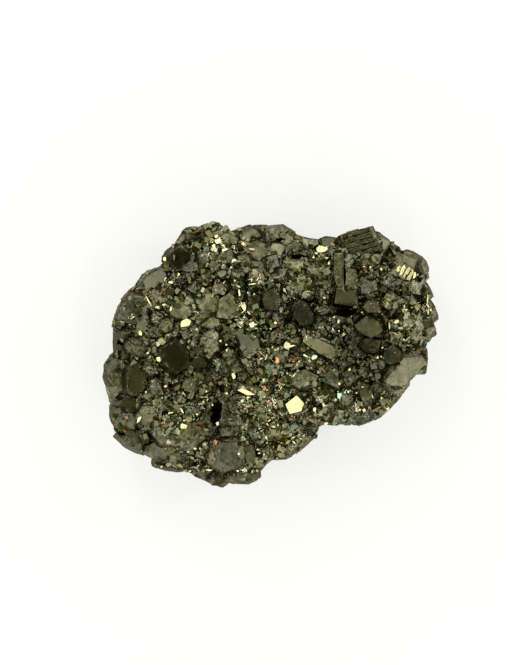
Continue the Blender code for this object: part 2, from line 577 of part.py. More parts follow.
def boolean(obj, operation, collection):
    """Joins or cuts an object with everything in a collection, and keeps the result as its mesh."""
    modifier = obj.modifiers.new(operation.title(), "BOOLEAN")
    modifier.operation = operation
    modifier.operand_type = "COLLECTION"
    modifier.collection = collection
    modifier.solver = "EXACT"
    modifier.use_self = False
    depsgraph = bpy.context.evaluated_depsgraph_get()
    mesh = bpy.data.meshes.new_from_object(obj.evaluated_get(depsgraph))
    obj.modifiers.remove(modifier)
    obj.data = mesh


def fill_pockets(obj):
    """Keeps the outer surface alone, so that gaps shut in between crystals are solid."""
    bm = bmesh.new()
    bm.from_mesh(obj.data)
    waiting = set(bm.faces)
    shells = []
    while waiting:
        shell = {waiting.pop()}
        front = list(shell)
        while front:
            for edge in front.pop().edges:
                for face in edge.link_faces:
                    if face in waiting:
                        waiting.remove(face)
                        shell.add(face)
                        front.append(face)
        shells.append(shell)
    outer = max(shells, key=len)
    inner = [face for shell in shells if shell is not outer for face in shell]
    bmesh.ops.delete(bm, geom=inner, context="FACES")
    bm.to_mesh(obj.data)
    bm.free()


def tool_objects(name, meshes):
    """A collection of hidden objects that the mass is joined or cut with."""
    collection = new_collection(name)
    for index, bm in enumerate(meshes):
        obj = add_object(f"{name}_{index:03d}", bm, collection)
        obj.hide_render = True
        obj.display_type = "WIRE"
    return collection


def pyrite_material():
    material = bpy.data.materials.new("pyrite")
    material.use_nodes = True
    shader = material.node_tree.nodes["Principled BSDF"]
    shader.inputs["Base Color"].default_value = (0.36, 0.32, 0.20, 1.0)
    shader.inputs["Metallic"].default_value = 1.0
    shader.inputs["Roughness"].default_value = 0.3
    return material


def clear_scene():
    for obj in list(bpy.data.objects):
        bpy.data.objects.remove(obj, do_unlink=True)


def main():
    clear_scene()
    specimen = new_collection("pyrite_cluster")
    cluster = add_object("pyrite_cluster", make_mass(), specimen)
    grown = placed_faces() + stepped_crystal() + side_crystals() + fill_crystals()
    boolean(cluster, "UNION", tool_objects("crystal", grown))

    ground = block(120.0)
    bmesh.ops.translate(ground, vec=(0, 0, -60.0), verts=ground.verts)
    boolean(cluster, "DIFFERENCE", tool_objects("hollow", cavity_cutters() + [ground]))
    fill_pockets(cluster)

    corners = [Vector(corner) for corner in cluster.bound_box]
    low = Vector(min(corner[axis] for corner in corners) for axis in range(3))
    high = Vector(max(corner[axis] for corner in corners) for axis in range(3))
    middle = (low + high) / 2
    cluster.data.transform(Matrix.Translation((-middle.x, -middle.y, -low.z)))
    thin = cluster.modifiers.new("Thin out", "DECIMATE")
    thin.ratio = KEPT_SHARE
    cluster.data.materials.append(pyrite_material())
    print("size", high - low, "faces", len(cluster.data.polygons))


main()
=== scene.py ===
"""Pyrite cluster, dressed: crystal faces in full detail, the grains between them, and a plain studio.

Laid out as a Blender add-on and run as a script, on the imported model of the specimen.
"""

import functools
import math
import random

import bmesh
import bpy
import numpy as np
from bpy.props import FloatProperty, FloatVectorProperty, IntProperty, PointerProperty
from mathutils import Matrix, Vector, noise
from mathutils.bvhtree import BVHTree
from mathutils.kdtree import KDTree


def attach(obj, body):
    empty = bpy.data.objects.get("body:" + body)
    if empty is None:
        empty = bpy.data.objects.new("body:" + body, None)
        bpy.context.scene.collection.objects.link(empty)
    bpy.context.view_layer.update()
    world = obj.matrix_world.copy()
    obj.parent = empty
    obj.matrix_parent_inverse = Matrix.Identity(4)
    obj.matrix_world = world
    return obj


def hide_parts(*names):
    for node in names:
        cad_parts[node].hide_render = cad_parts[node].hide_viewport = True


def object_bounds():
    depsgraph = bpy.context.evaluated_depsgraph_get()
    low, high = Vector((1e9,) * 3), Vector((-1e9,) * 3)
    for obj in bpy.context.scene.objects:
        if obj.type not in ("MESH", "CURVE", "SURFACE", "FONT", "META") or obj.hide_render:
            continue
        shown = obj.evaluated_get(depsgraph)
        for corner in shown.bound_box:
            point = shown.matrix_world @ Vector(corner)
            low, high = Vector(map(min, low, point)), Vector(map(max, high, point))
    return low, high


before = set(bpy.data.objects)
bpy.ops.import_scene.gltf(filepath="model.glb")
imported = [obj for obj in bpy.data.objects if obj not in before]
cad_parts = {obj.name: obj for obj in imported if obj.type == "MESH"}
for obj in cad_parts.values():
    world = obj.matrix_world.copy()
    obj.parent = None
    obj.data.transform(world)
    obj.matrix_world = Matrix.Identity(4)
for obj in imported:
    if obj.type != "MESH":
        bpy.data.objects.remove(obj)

bl_info = {
    "name": "Pyrite cluster",
    "version": (1, 0, 0),
    "blender": (4, 5, 0),
    "location": "3D View > Sidebar > Pyrite",
    "description": "Grows the faces and the grains of a pyrite cluster, and sets it in a plain studio",
    "category": "Add Mesh",
}

NODE = "pyrite_cluster"
BODY = "root"
MM = 0.001
CAD_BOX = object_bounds()

# Heights in millimetres above the floor: where the top begins, and where its high valleys begin, in
# which the grains grow close together.
TOP_BEGINS = 13.0
HIGH_VALLEYS = 17.5
GRAIN_SHAPES = 24  # different grains, of which every grain is a turned and stretched copy
OPEN_REACH = 5.0  # millimetres within which a neighbour can shade a place
NARROWEST_CORNER = math.radians(35)  # faces with a sharper corner than this get no worn edge
PLACED_SCALE = 0.86  # size of a placed flashing crystal, as a share of its row's sizes

# Where fine grains cover the top in patches: x, y and reach in millimetres, and grains a square
# millimetre at the middle of the patch.
GRAIN_PATCHES = [
    (-10.4, 21.7, 3.2, 4.0), (-8.0, 17.4, 2.4, 3.0), (-2.8, 13.4, 2.2, 2.5), (10.4, 18.8, 2.6, 2.5),
    (20.6, 14.6, 3.4, 3.0), (25.8, 11.8, 2.6, 2.5), (26.6, 7.2, 3.4, 3.0), (28.0, 0.4, 2.8, 3.0),
    (22.6, -7.4, 3.4, 3.5), (12.6, 5.4, 4.0, 3.0), (5.2, 11.4, 4.2, 3.0), (-4.6, 6.6, 3.0, 3.5),
    (-1.4, -4.4, 6.0, 3.5), (0.4, -11.0, 5.0, 4.0), (-13.8, -9.4, 3.4, 3.5), (-22.8, -1.4, 2.6, 3.0),
    (-23.2, -4.4, 2.4, 3.5), (1.4, -15.8, 4.0, 3.5), (11.0, -8.8, 3.8, 3.5), (17.6, -8.8, 3.4, 3.5),
    (11.4, -2.2, 2.8, 3.0), (-18.6, -9.6, 3.6, 2.5), (-21.4, 12.0, 3.0, 2.0), (-15.0, 12.6, 3.4, 1.5),
    (-20.0, -13.0, 3.4, 2.0), (2.4, 3.6, 3.6, 3.0), (-13.2, 14.8, 2.6, 2.0), (17.4, -2.6, 2.8, 2.5),
    (-11.2, -11.8, 1.8, 5.0),
]
# Crystal faces that stay smooth and free of grains: middle and reach in millimetres, colour, how pale
# the colour is, which is partly the face's own tone and partly painted light or shade, and how the face
# is finished.
FACE_TONES = [
    (-18.9, 22.5, 1.6, "green", 0.5, "dull"), (-18.0, 18.7, 2.4, "olive", 0.5, "clear"),
    (-22.6, 15.1, 1.7, "tan", 1.0, "clear"), (-25.4, 14.1, 1.0, "blue", 0.35, "clear"),
    (-9.8, 24.3, 3.0, "olive", 1.0, "dull"), (-2.8, 21.9, 3.0, "tan", 0.9, "dull"),
    (1.4, 24.7, 2.4, "tan", 1.1, "dull"), (1.2, 20.7, 1.4, "green", 1.4, "satin"),
    (-2.8, 15.1, 1.8, "brown", 1.6, "dull"), (5.6, 23.1, 2.0, "mauve", 1.9, "dull"),
    (5.4, 17.3, 2.0, "green", 2.2, "dull"), (10.2, 20.9, 1.2, "brass", 1.0, "clear"),
    (12.0, 22.1, 1.8, "green", 0.85, "clear"), (9.2, 15.9, 1.8, "tan", 1.6, "dull"),
    (17.8, 22.3, 3.8, "olive", 1.0, "clear"), (13.4, 14.5, 1.2, "olive", 0.4, "clear"),
    (13.4, 17.5, 1.4, "olive", 1.2, "dull"), (15.4, 18.7, 1.2, "blue", 1.8, "satin"),
    (15.8, 14.9, 1.8, "green", 1.3, "dull"), (19.0, 18.5, 2.2, "tan", 1.0, "dull"),
    (28.8, 18.1, 3.4, "tan", 0.9, "dull"), (26.8, 16.1, 1.8, "brass", 1.3, "clear"),
    (27.0, 13.1, 1.3, "tan", 2.1, "dull"), (23.2, 10.7, 1.7, "gold", 1.3, "dull"),
    (27.2, 10.7, 1.4, "green", 1.1, "satin"), (19.4, 5.3, 2.4, "mauve", 1.05, "clear"),
    (14.4, 11.1, 2.2, "olive", 0.9, "clear"), (19.4, 2.1, 1.8, "brown", 0.6, "satin"),
    (23.6, -0.1, 1.8, "green", 0.65, "satin"), (26.8, -3.2, 5.4, "tan", 1.0, "satin"),
    (19.4, -7.1, 1.5, "olive", 1.0, "satin"), (16.8, -13.7, 1.8, "olive", 1.0, "dull"),
    (-27.2, 8.7, 3.4, "olive", 0.7, "dull"), (-18.2, 9.5, 2.8, "green", 1.3, "dull"),
    (-17.0, 6.3, 1.2, "tan", 0.7, "dull"), (-20.8, 5.7, 1.5, "mauve", 1.2, "dull"),
    (-25.6, 1.7, 2.6, "green", 1.0, "dull"), (-18.6, -0.5, 2.8, "olive", 0.45, "clear"),
    (-26.8, -4.5, 2.6, "brown", 1.0, "clear"), (-29.2, -4.3, 1.0, "tan", 2.4, "dull"),
    (-29.2, -12.7, 3.0, "green", 1.0, "dull"), (-28.2, -9.9, 1.5, "blue", 0.6, "clear"),
    (-10.8, 9.3, 3.6, "brown", 1.3, "dull"), (-3.4, 9.9, 1.3, "olive", 0.6, "clear"),
    (-11.6, 5.9, 1.4, "green", 0.38, "dull"), (-12.0, 2.3, 1.9, "tan", 1.2, "dull"),
    (-4.2, 2.3, 1.9, "blue", 0.8, "clear"), (-14.4, -1.7, 1.4, "brown", 0.5, "satin"),
    (0.0, 10.7, 1.8, "green", 0.8, "satin"), (6.2, 7.9, 2.0, "green", 0.6, "satin"),
    (9.8, 1.5, 3.2, "tan", 1.35, "clear"), (5.4, -1.9, 1.3, "green", 2.1, "dull"),
    (-6.2, -9.7, 2.1, "mauve", 0.9, "dull"), (5.8, -4.5, 2.4, "brown", 1.0, "dull"),
    (4.6, -10.3, 1.7, "tan", 0.6, "dull"), (5.2, -6.7, 1.2, "green", 2.0, "dull"),
    (9.4, -7.9, 1.4, "olive", 2.6, "dull"), (-18.0, -15.7, 4.6, "brown", 0.85, "dull"),
    (-20.2, -20.9, 4.5, "green", 0.85, "dull"), (-8.8, -19.1, 1.9, "blue", 1.3, "dull"),
    (-9.8, -22.3, 2.2, "tan", 0.75, "clear"), (-4.6, -19.7, 1.7, "mauve", 0.7, "dull"),
    (-2.6, -21.1, 1.3, "tan", 1.0, "dull"), (-7.4, -24.7, 4.0, "olive", 0.5, "dull"),
    (6.6, -17.9, 2.4, "tan", 0.8, "dull"),
]
# Places on the colour ramp of the tarnish, and how much of it is fresh brass instead.
HUES = {
    "brown": (0.0, 0.0), "tan": (0.17, 0.0), "olive": (0.34, 0.0), "green": (0.5, 0.0),
    "blue": (0.67, 0.0), "mauve": (0.84, 0.0), "gold": (1.0, 0.0), "brass": (0.17, 1.0),
}
# How much roughness a finish adds, and how thickly tiny crystals cover the face.
FINISHES = {"clear": (0.0, 0.0), "satin": (0.08, 0.3), "dull": (0.2, 0.75), "drusy": (0.07, 1.0)}

# Stretches of the top with few grains and low relief: middle, reach in millimetres, and how calm.
CALM = [
    (-0.2, 19.3, 6.5, 0.8), (-11.2, 9.5, 5.0, 0.6), (-30.8, -7.0, 5.0, 0.8), (-19.6, -17.0, 7.5, 0.4),
    (26.8, -3.2, 5.0, 0.9), (17.0, 5.0, 4.5, 0.6), (14.8, 17.9, 4.0, 0.8), (5.8, -4.5, 3.0, 0.8),
    (-4.6, -19.7, 2.5, 0.6), (-27.4, -3.5, 4.0, 0.8), (17.8, 22.3, 4.0, 1.0), (28.8, 18.1, 4.5, 0.9),
    (4.6, -10.3, 2.6, 1.0), (-17.0, 6.3, 1.9, 1.0), (10.2, 20.9, 1.8, 1.0), (-4.9, -7.3, 2.0, 0.9),
    (26.8, 16.1, 2.6, 1.0), (19.4, 5.3, 2.6, 0.9), (9.8, 1.5, 3.0, 0.8), (14.4, 11.1, 2.4, 0.8),
    (-9.8, 24.6, 4.0, 0.8), (-18.4, -0.6, 3.6, 0.7), (-26.0, 8.0, 4.5, 0.6), (-7.0, -25.0, 5.0, 0.7),
    (-24.0, -18.5, 5.0, 0.8), (-15.0, 11.5, 4.5, 0.6), (31.5, 5.5, 2.6, 0.7), (18.0, -13.2, 4.0, 0.7),
    (6.8, -3.6, 3.0, 0.8), (-31.0, 3.0, 3.5, 0.7), (-8.8, -19.1, 2.6, 0.7), (7.0, -18.5, 3.0, 0.7),
]

# Stretches where the colour is dimmed or cleared: middle, reach in millimetres, and which.
# These are partly heavier or thinner tarnish and partly painted shade and painted light.
PATINA_AND_SHADING = [
    (16.0, 7.0, 6.0, "heavy"), (16.5, -1.0, 4.5, "heavy"), (6.0, 8.5, 3.5, "heavy"),
    (20.0, -6.0, 3.0, "heavy"), (-18.0, 17.5, 4.0, "heavy"), (-27.0, 5.0, 3.5, "heavy"),
    (-11.0, -12.5, 3.0, "heavy"), (-31.0, -3.0, 4.0, "heavy"), (-9.0, 22.0, 4.0, "thin"),
    (-2.0, -1.5, 6.0, "thin"), (0.0, -10.5, 6.0, "thin"), (-13.5, 6.0, 6.0, "thin"),
    (5.0, 13.0, 5.0, "thin"), (26.5, 7.0, 5.0, "thin"), (14.0, -9.5, 4.5, "thin"),
    (25.0, -9.0, 4.0, "thin"), (27.0, 15.0, 4.0, "thin"), (-23.5, -2.0, 3.0, "thin"),
    (4.0, -17.0, 4.0, "thin"), (-3.5, -8.5, 2.5, "thin"), (-4.0, -1.5, 3.0, "thin"),
    (24.0, -8.0, 3.0, "thin"), (-19.5, -11.0, 3.0, "thin"), (-16.5, 13.0, 3.5, "thin"),
    (10.5, 3.5, 3.0, "thin"),
]
PATINA_AND_SHADING_FACTORS = {"heavy": 0.6, "thin": 1.26}

# Sprays of tiny flashing crystals: middle, half width and half height in millimetres, and number.
SPRAYS = [
    (-2.2, -8.5, 4.2, 3.6, 104), (0.8, 0.1, 5.0, 3.0, 84), (25.8, 3.3, 2.4, 4.2, 48),
    (13.4, -9.9, 5.6, 2.4, 56), (-23.4, -2.7, 1.8, 3.0, 30), (-13.6, -9.5, 1.2, 3.0, 24),
    (-18.2, -12.5, 2.4, 2.2, 20), (-10.4, 20.3, 3.0, 3.2, 50), (-5.6, 8.9, 1.1, 3.4, 24),
    (6.8, 12.3, 4.6, 2.0, 40), (14.0, 6.9, 2.8, 1.6, 24), (2.8, 11.5, 0.9, 2.8, 20),
    (20.2, 14.9, 2.4, 2.6, 30), (9.8, 18.7, 2.0, 1.4, 16), (-4.2, 13.7, 2.2, 1.6, 20),
    (0.4, -15.9, 3.6, 2.2, 38), (22.6, -7.1, 1.8, 2.2, 18), (10.8, -1.7, 1.2, 1.2, 14),
    (21.2, 0.5, 1.2, 1.4, 12), (0.8, -12.1, 4.0, 2.4, 60), (-28.6, 6.5, 2.0, 1.2, 8),
    (-7.2, -23.1, 5.4, 0.7, 22), (-19.2, -22.1, 3.0, 0.6, 12), (-4.8, 6.7, 2.2, 1.8, 26),
    (28.2, 0.9, 2.4, 1.5, 24), (2.2, -6.1, 3.6, 2.8, 46), (-20.0, 14.5, 2.0, 3.6, 16),
    (-22.0, 9.0, 1.8, 2.4, 12), (30.8, 10.0, 1.0, 2.4, 10), (17.6, -9.0, 1.6, 2.6, 14),
    (-5.2, -6.2, 2.4, 1.3, 44), (-3.2, -9.6, 2.0, 1.6, 30), (4.2, 0.6, 3.8, 0.9, 34),
    (-1.0, -2.2, 3.0, 0.8, 20), (13.4, -8.0, 1.2, 1.8, 20), (17.6, -10.4, 1.2, 1.2, 16),
    (10.6, -10.0, 1.8, 0.9, 18), (-11.2, -12.8, 1.0, 1.2, 16), (-3.6, -8.6, 1.6, 0.8, 20),
]

# Small crystals that face a lamp, and so flash: middle, width and length of the face in millimetres,
# its spin in degrees, which lamp it faces, and its tint.
FLASHES = [
    (10.2, 20.9, 2.6, 1.6, -4, 0, "gold"), (-4.9, -7.3, 5.2, 1.2, -22, 0, "gold"),
    (4.5, -10.0, 4.4, 4.0, 24, 0, "gold"), (-17.0, 6.3, 2.4, 2.2, -20, 0, "gold"),
    (25.1, 17.0, 1.0, 1.8, -24, 0, "gold"), (25.9, 16.7, 1.0, 2.8, -24, 0, "gold"),
    (26.7, 16.3, 1.0, 3.0, -24, 0, "gold"), (27.5, 15.9, 1.0, 3.0, -24, 0, "gold"),
    (28.3, 15.5, 1.0, 2.2, -24, 0, "gold"), (-10.6, 22.4, 1.6, 1.4, 20, 0, "blue"),
    (-9.6, 21.6, 1.4, 0.9, -30, 3, "gold"), (-11.4, 21.5, 0.9, 1.2, 10, 0, "gold"),
    (-10.9, 23.4, 1.2, 0.7, 40, 1, "gold"), (-7.4, 18.6, 1.2, 0.9, 10, 0, "blue"),
    (-21.2, 19.0, 0.8, 1.0, 0, 0, "gold"), (-18.3, 16.0, 0.6, 1.4, 10, 0, "gold"),
    (-19.9, 14.3, 1.0, 0.8, 20, 0, "gold"), (-21.2, 12.3, 1.2, 0.7, 10, 1, "gold"),
    (-9.2, 20.7, 1.6, 0.7, 15, 0, "blue"), (-9.4, 17.6, 0.8, 0.6, 0, 1, "gold"),
    (-7.9, 17.2, 0.6, 0.6, 0, 0, "gold"), (-7.2, 18.0, 1.0, 1.3, 30, 0, "blue"),
    (-12.6, 21.8, 0.5, 0.5, 0, 2, "blue"), (-11.0, 22.6, 0.6, 0.5, 0, 0, "blue"),
    (-10.2, 23.0, 0.5, 0.7, 20, 3, "gold"), (-3.8, 20.9, 1.7, 0.6, 5, 1, "pink"),
    (8.4, 19.3, 0.6, 0.5, 0, 0, "gold"), (9.0, 19.7, 0.5, 0.6, 0, 1, "gold"),
    (10.8, 19.1, 0.6, 0.6, 0, 2, "gold"), (11.4, 18.1, 0.6, 0.7, 0, 0, "gold"),
    (18.4, 17.3, 0.6, 0.6, 0, 0, "gold"), (19.6, 17.3, 0.6, 0.5, 0, 1, "gold"),
    (20.2, 16.7, 0.6, 0.6, 0, 3, "pink"), (21.8, 16.9, 0.6, 0.6, 0, 0, "gold"),
    (21.2, 15.7, 0.6, 0.5, 0, 2, "gold"), (26.2, 9.7, 0.9, 0.8, 0, 0, "gold"),
    (26.6, 8.9, 0.9, 0.5, 0, 1, "gold"), (27.8, 9.5, 0.6, 0.6, 0, 3, "pink"),
    (31.1, 11.0, 0.4, 2.4, -6, 1, "gold"), (31.8, 8.9, 0.6, 0.6, 0, 1, "gold"),
    (24.8, 6.5, 1.4, 0.9, 20, 0, "gold"), (26.4, 5.9, 1.5, 1.1, -10, 0, "gold"),
    (27.8, 6.3, 0.9, 0.9, 30, 1, "gold"), (25.6, 5.3, 1.2, 0.7, 0, 2, "gold"),
    (18.1, 8.2, 0.3, 2.4, 45, 0, "gold"), (12.4, 7.5, 0.6, 0.6, 0, 0, "gold"),
    (13.3, 6.6, 0.6, 1.0, 0, 0, "blue"), (12.2, 4.9, 0.4, 1.2, 20, 1, "blue"),
    (13.3, 4.5, 0.6, 0.8, 0, 3, "gold"), (22.0, 1.3, 0.6, 0.6, 0, 0, "gold"),
    (20.2, 0.5, 0.6, 0.6, 0, 1, "gold"), (21.0, -0.5, 0.6, 0.6, 0, 2, "gold"),
    (21.8, -0.3, 0.6, 0.6, 0, 0, "gold"), (15.4, -2.9, 0.6, 0.6, 0, 0, "gold"),
    (17.4, -5.3, 0.6, 0.6, 0, 1, "gold"), (18.0, -6.3, 0.6, 0.6, 0, 0, "gold"),
    (15.2, -7.3, 0.6, 0.6, 0, 2, "blue"), (16.8, -7.5, 0.6, 0.6, 0, 0, "gold"),
    (17.6, -9.9, 0.8, 0.8, 20, 0, "gold"), (18.4, -11.0, 0.8, 1.0, 0, 2, "gold"),
    (16.9, -10.8, 0.6, 1.0, 0, 1, "pink"), (23.1, -10.8, 1.0, 1.0, 30, 2, "gold"),
    (10.9, -13.7, 1.4, 0.7, 10, 2, "gold"), (-24.2, 10.5, 0.3, 3.4, 30, 0, "gold"),
    (-22.4, 9.3, 1.2, 1.2, 10, 1, "pink"), (-21.1, 9.9, 1.0, 0.5, 0, 0, "gold"),
    (-21.1, 7.9, 0.9, 1.5, 0, 0, "gold"), (-25.9, 4.3, 0.9, 1.2, 0, 3, "gold"),
    (-22.1, -0.9, 1.3, 1.5, 10, 0, "gold"), (-24.9, -7.3, 0.9, 1.1, 30, 3, "gold"),
    (-20.9, -6.2, 0.7, 0.6, 0, 0, "gold"), (-26.2, -12.9, 0.8, 2.0, -30, 3, "blue"),
    (-5.4, 9.6, 1.0, 2.5, 10, 0, "gold"), (-4.1, 5.0, 1.4, 0.6, 0, 0, "gold"),
    (-10.0, 2.7, 0.6, 0.6, 0, 0, "gold"), (-8.8, 2.1, 0.6, 0.6, 0, 2, "gold"),
    (-8.8, 0.9, 0.6, 0.6, 0, 1, "gold"), (0.8, 6.3, 0.8, 0.7, 20, 1, "gold"),
    (3.1, 5.7, 1.0, 0.4, 0, 0, "gold"), (3.8, 1.7, 2.5, 0.5, 12, 0, "gold"),
    (6.4, 0.0, 2.4, 0.4, -35, 0, "gold"), (8.5, -0.4, 1.6, 1.2, 10, 0, "blue"),
    (9.8, -1.7, 0.6, 0.6, 0, 1, "gold"), (2.4, -1.9, 1.2, 1.2, 20, 0, "pink"),
    (1.2, -1.1, 1.2, 1.8, 10, 0, "red"), (-7.4, -4.1, 0.8, 1.6, 10, 0, "gold"),
    (-12.8, -7.1, 0.6, 0.6, 0, 0, "gold"), (-13.4, -9.3, 0.6, 0.6, 0, 2, "gold"),
    (-13.6, -10.3, 0.6, 0.6, 0, 1, "gold"), (-14.6, -11.7, 0.6, 0.6, 0, 0, "gold"),
    (8.6, -10.8, 0.8, 1.3, 10, 2, "gold"), (10.5, -9.8, 1.3, 1.3, 30, 0, "pink"),
    (9.8, -11.9, 0.6, 0.6, 0, 1, "gold"), (12.4, -8.5, 0.4, 1.2, 10, 0, "gold"),
    (13.4, -7.9, 1.1, 2.2, -10, 0, "blue"), (13.4, -5.7, 0.6, 0.6, 0, 1, "gold"),
    (-17.3, -14.0, 2.0, 1.5, -15, 0, "gold"), (-16.4, -19.1, 0.6, 0.6, 0, 2, "gold"),
    (-15.0, -18.5, 0.7, 0.5, 0, 0, "gold"), (-14.0, -18.5, 0.6, 0.6, 0, 1, "gold"),
    (-19.7, -11.2, 1.7, 1.1, 30, 0, "gold"), (-21.8, -22.3, 0.6, 0.6, 0, 2, "gold"),
    (-17.0, -22.1, 0.6, 0.6, 0, 2, "gold"), (-11.0, -17.2, 1.1, 1.3, 20, 0, "red"),
    (-2.6, -18.7, 0.6, 0.6, 0, 0, "gold"), (-2.4, -19.5, 0.6, 0.6, 0, 2, "gold"),
    (-1.4, -19.7, 0.6, 0.6, 0, 1, "gold"), (-6.4, -19.5, 0.6, 0.6, 0, 0, "blue"),
    (-6.6, -23.1, 0.6, 0.6, 0, 2, "gold"), (-5.6, -22.9, 0.6, 0.6, 0, 2, "gold"),
    (-2.8, -23.1, 0.6, 0.6, 0, 0, "gold"), (-12.4, -22.9, 1.5, 0.5, 0, 2, "gold"),
    (-11.0, -12.6, 0.7, 0.6, 20, 0, "blue"), (-10.6, -13.6, 0.6, 0.9, 0, 2, "blue"),
    (-11.6, -9.9, 0.5, 0.5, 0, 1, "gold"), (-0.6, -9.0, 0.8, 0.6, 0, 0, "red"),
    (-1.4, -8.2, 0.7, 0.6, 20, 2, "pink"), (0.6, -8.6, 0.6, 0.7, 10, 0, "red"),
    (-8.8, -7.6, 0.6, 0.6, 0, 0, "gold"),
]
TINTS = {"gold": 0.7, "blue": 0.82, "pink": 0.9, "red": 0.99}

# Directions that the studio's lamps shine from: angle from straight up, compass angle, width across
# in metres at the lamps' distance, and strength.
LAMPS = [
    (46.0, 115.0, 0.14, 1.0), (56.0, 20.0, 0.13, 0.9),
    (40.0, 290.0, 0.12, 1.0), (60.0, 190.0, 0.14, 0.9),
]


class FaceSettings(bpy.types.PropertyGroup):
    """Detail of the large crystal faces."""

    edge: FloatProperty(
        name="Worn edge", description="Width of the worn band along each crystal edge",
        default=0.035 * MM, unit="LENGTH", precision=5,
    )
    detail: FloatProperty(
        name="Detail", description="Longest mesh edge of the rough parts of the top",
        default=0.54 * MM, unit="LENGTH", precision=5,
    )
    coarse: FloatProperty(
        name="Coarse detail", description="Longest mesh edge of the smooth faces and the underside",
        default=1.6 * MM, unit="LENGTH", precision=5,
    )
    clean: FloatProperty(
        name="Clean face", description="Faces larger than this many square millimetres are smooth",
        default=5.0,
    )
    relief: FloatProperty(
        name="Relief", description="Height of the waves that growth left on the faces",
        default=0.07 * MM, unit="LENGTH", precision=6,
    )
    crumble: FloatProperty(
        name="Crumble", description="How far the points of the rough parts are thrown about",
        default=0.15 * MM, unit="LENGTH", precision=6,
    )
    seed: IntProperty(name="Seed", description="Picks one of the possible faces", default=5)


class GrainSettings(bpy.types.PropertyGroup):
    """Grains between and on the large crystals."""

    smallest: FloatProperty(
        name="Smallest", description="Width of the smallest grains",
        default=0.34 * MM, unit="LENGTH", precision=5,
    )
    largest: FloatProperty(
        name="Largest", description="Width of the largest grains",
        default=1.5 * MM, unit="LENGTH", precision=5,
    )
    spacing: FloatProperty(
        name="Valley spacing", description="Distance between grains along the valleys of the top",
        default=0.5 * MM, unit="LENGTH", precision=5,
    )
    scatter: FloatProperty(
        name="Scatter", description="Grains a square millimetre on the rough parts of the top",
        default=0.4,
    )
    seed: IntProperty(name="Seed", description="Picks one of the possible growths", default=11)


class FinishSettings(bpy.types.PropertyGroup):
    """Colours of the mineral, and the colour of the painted shade in its crevices."""

    brass: FloatVectorProperty(
        name="Brass", description="Fresh crystal faces", subtype="COLOR",
        default=(0.394, 0.386, 0.254), size=3, min=0.0, max=1.0,
    )
    # Painted shade: the colour that crevices darken to, where little of the open reaches them.
    crevice_shade: FloatVectorProperty(
        name="Crevice shade", description="Deep gaps between the crystals", subtype="COLOR",
        default=(0.078, 0.074, 0.022), size=3, min=0.0, max=1.0,
    )


class StudioSettings(bpy.types.PropertyGroup):
    """The floor, the lamps and the camera."""

    camera_height: FloatProperty(
        name="Camera height", description="Distance from the specimen's waist to the lens",
        default=0.8, unit="LENGTH",
    )
    field: FloatProperty(
        name="Field", description="Length that fills the picture's long side at the specimen's waist",
        default=0.133, unit="LENGTH", precision=4,
    )
    offset: FloatVectorProperty(
        name="Offset", description="Where the camera looks, from the specimen's middle",
        default=(-0.0035, 0.0044, 0.0), size=3, subtype="TRANSLATION", precision=5,
    )
    floor: FloatVectorProperty(
        name="Floor", description="Colour of the floor", subtype="COLOR",
        default=(0.80, 0.80, 0.80), size=3, min=0.0, max=1.0,
    )
    glow: FloatProperty(
        name="Glow", description="Light that comes through the floor from below", default=0.78,
    )
    lamp_power: FloatProperty(
        name="Lamps", description="Radiance of each lamp, before its own strength", default=3.3,
    )


# Shapes


def facet_surface():
    """The node's surface as a bmesh in which each flat crystal face is one face."""
    bm = bmesh.new()
    bm.from_mesh(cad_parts[NODE].data)
    bmesh.ops.remove_doubles(bm, verts=bm.verts, dist=1e-7)
    bmesh.ops.dissolve_limit(bm, angle_limit=math.radians(3.5), verts=bm.verts, edges=bm.edges)
    return bm


def growth_direction(face):
    """A direction in a crystal face, across its growth lines: square to the face's longest edge."""
    longest = max(face.edges, key=lambda edge: edge.calc_length())
    along = (longest.verts[1].co - longest.verts[0].co).normalized()
    return face.normal.cross(along).normalized()


def tone_of(face):
    """The colour, lightness (partly painted light or shade) and finish written down for a crystal face,
    or None.
    """
    middle = face.calc_center_median() / MM
    if face.normal.z < 0.35 or face.calc_area() < 0.9 * MM**2:
        return None
    for x, y, reach, *tone in FACE_TONES:
        if math.hypot(middle.x - x, middle.y - y) < reach:
            return tone
    return None


def is_clean(face, clean_area):
    """Whether a crystal face stays smooth and free of grains."""
    tone = tone_of(face)
    if tone is not None:
        return tone[2] in ("clear", "satin")
    return face.calc_area() / MM**2 > clean_area


def calm_at(x, y):
    """How calm the top is at a place in metres, from 0 to 1."""
    calm = 0.0
    for cx, cy, reach, strength in CALM:
        away = math.hypot(x / MM - cx, y / MM - cy) / reach
        calm = max(calm, strength * min(1.0, max(0.0, 2.2 - 2.2 * away)))
    return calm


def patina_and_shading_at(x, y):
    """How much tarnish and painted shade and light dim or clear the surface at a place in metres."""
    shade = 1.0
    for cx, cy, reach, kind in PATINA_AND_SHADING:
        away = math.hypot(x / MM - cx, y / MM - cy) / reach
        shade *= PATINA_AND_SHADING_FACTORS[kind] ** math.exp(-away * away)
    return shade


@functools.lru_cache(maxsize=None)
def glitter_near(column, row):
    """How thickly tiny crystals cover the top in a square of half a millimetre, from 0 to 1."""
    x, y = column / 2, row / 2
    share = 0.3 * patch_density(x, y)
    for cx, cy, half_width, half_height, _count in SPRAYS:
        away = math.hypot((x - cx) / half_width, (y - cy) / half_height)
        share += max(0.0, 1.3 - 0.8 * away)
    return min(1.0, 0.3 + share) * (1 - 0.7 * calm_at(x * MM, y * MM))


def glitter_at(place):
    """How thickly tiny crystals cover the top above a point, from 0 to 1."""
    return glitter_near(round(place.x * 2 / MM), round(place.y * 2 / MM))


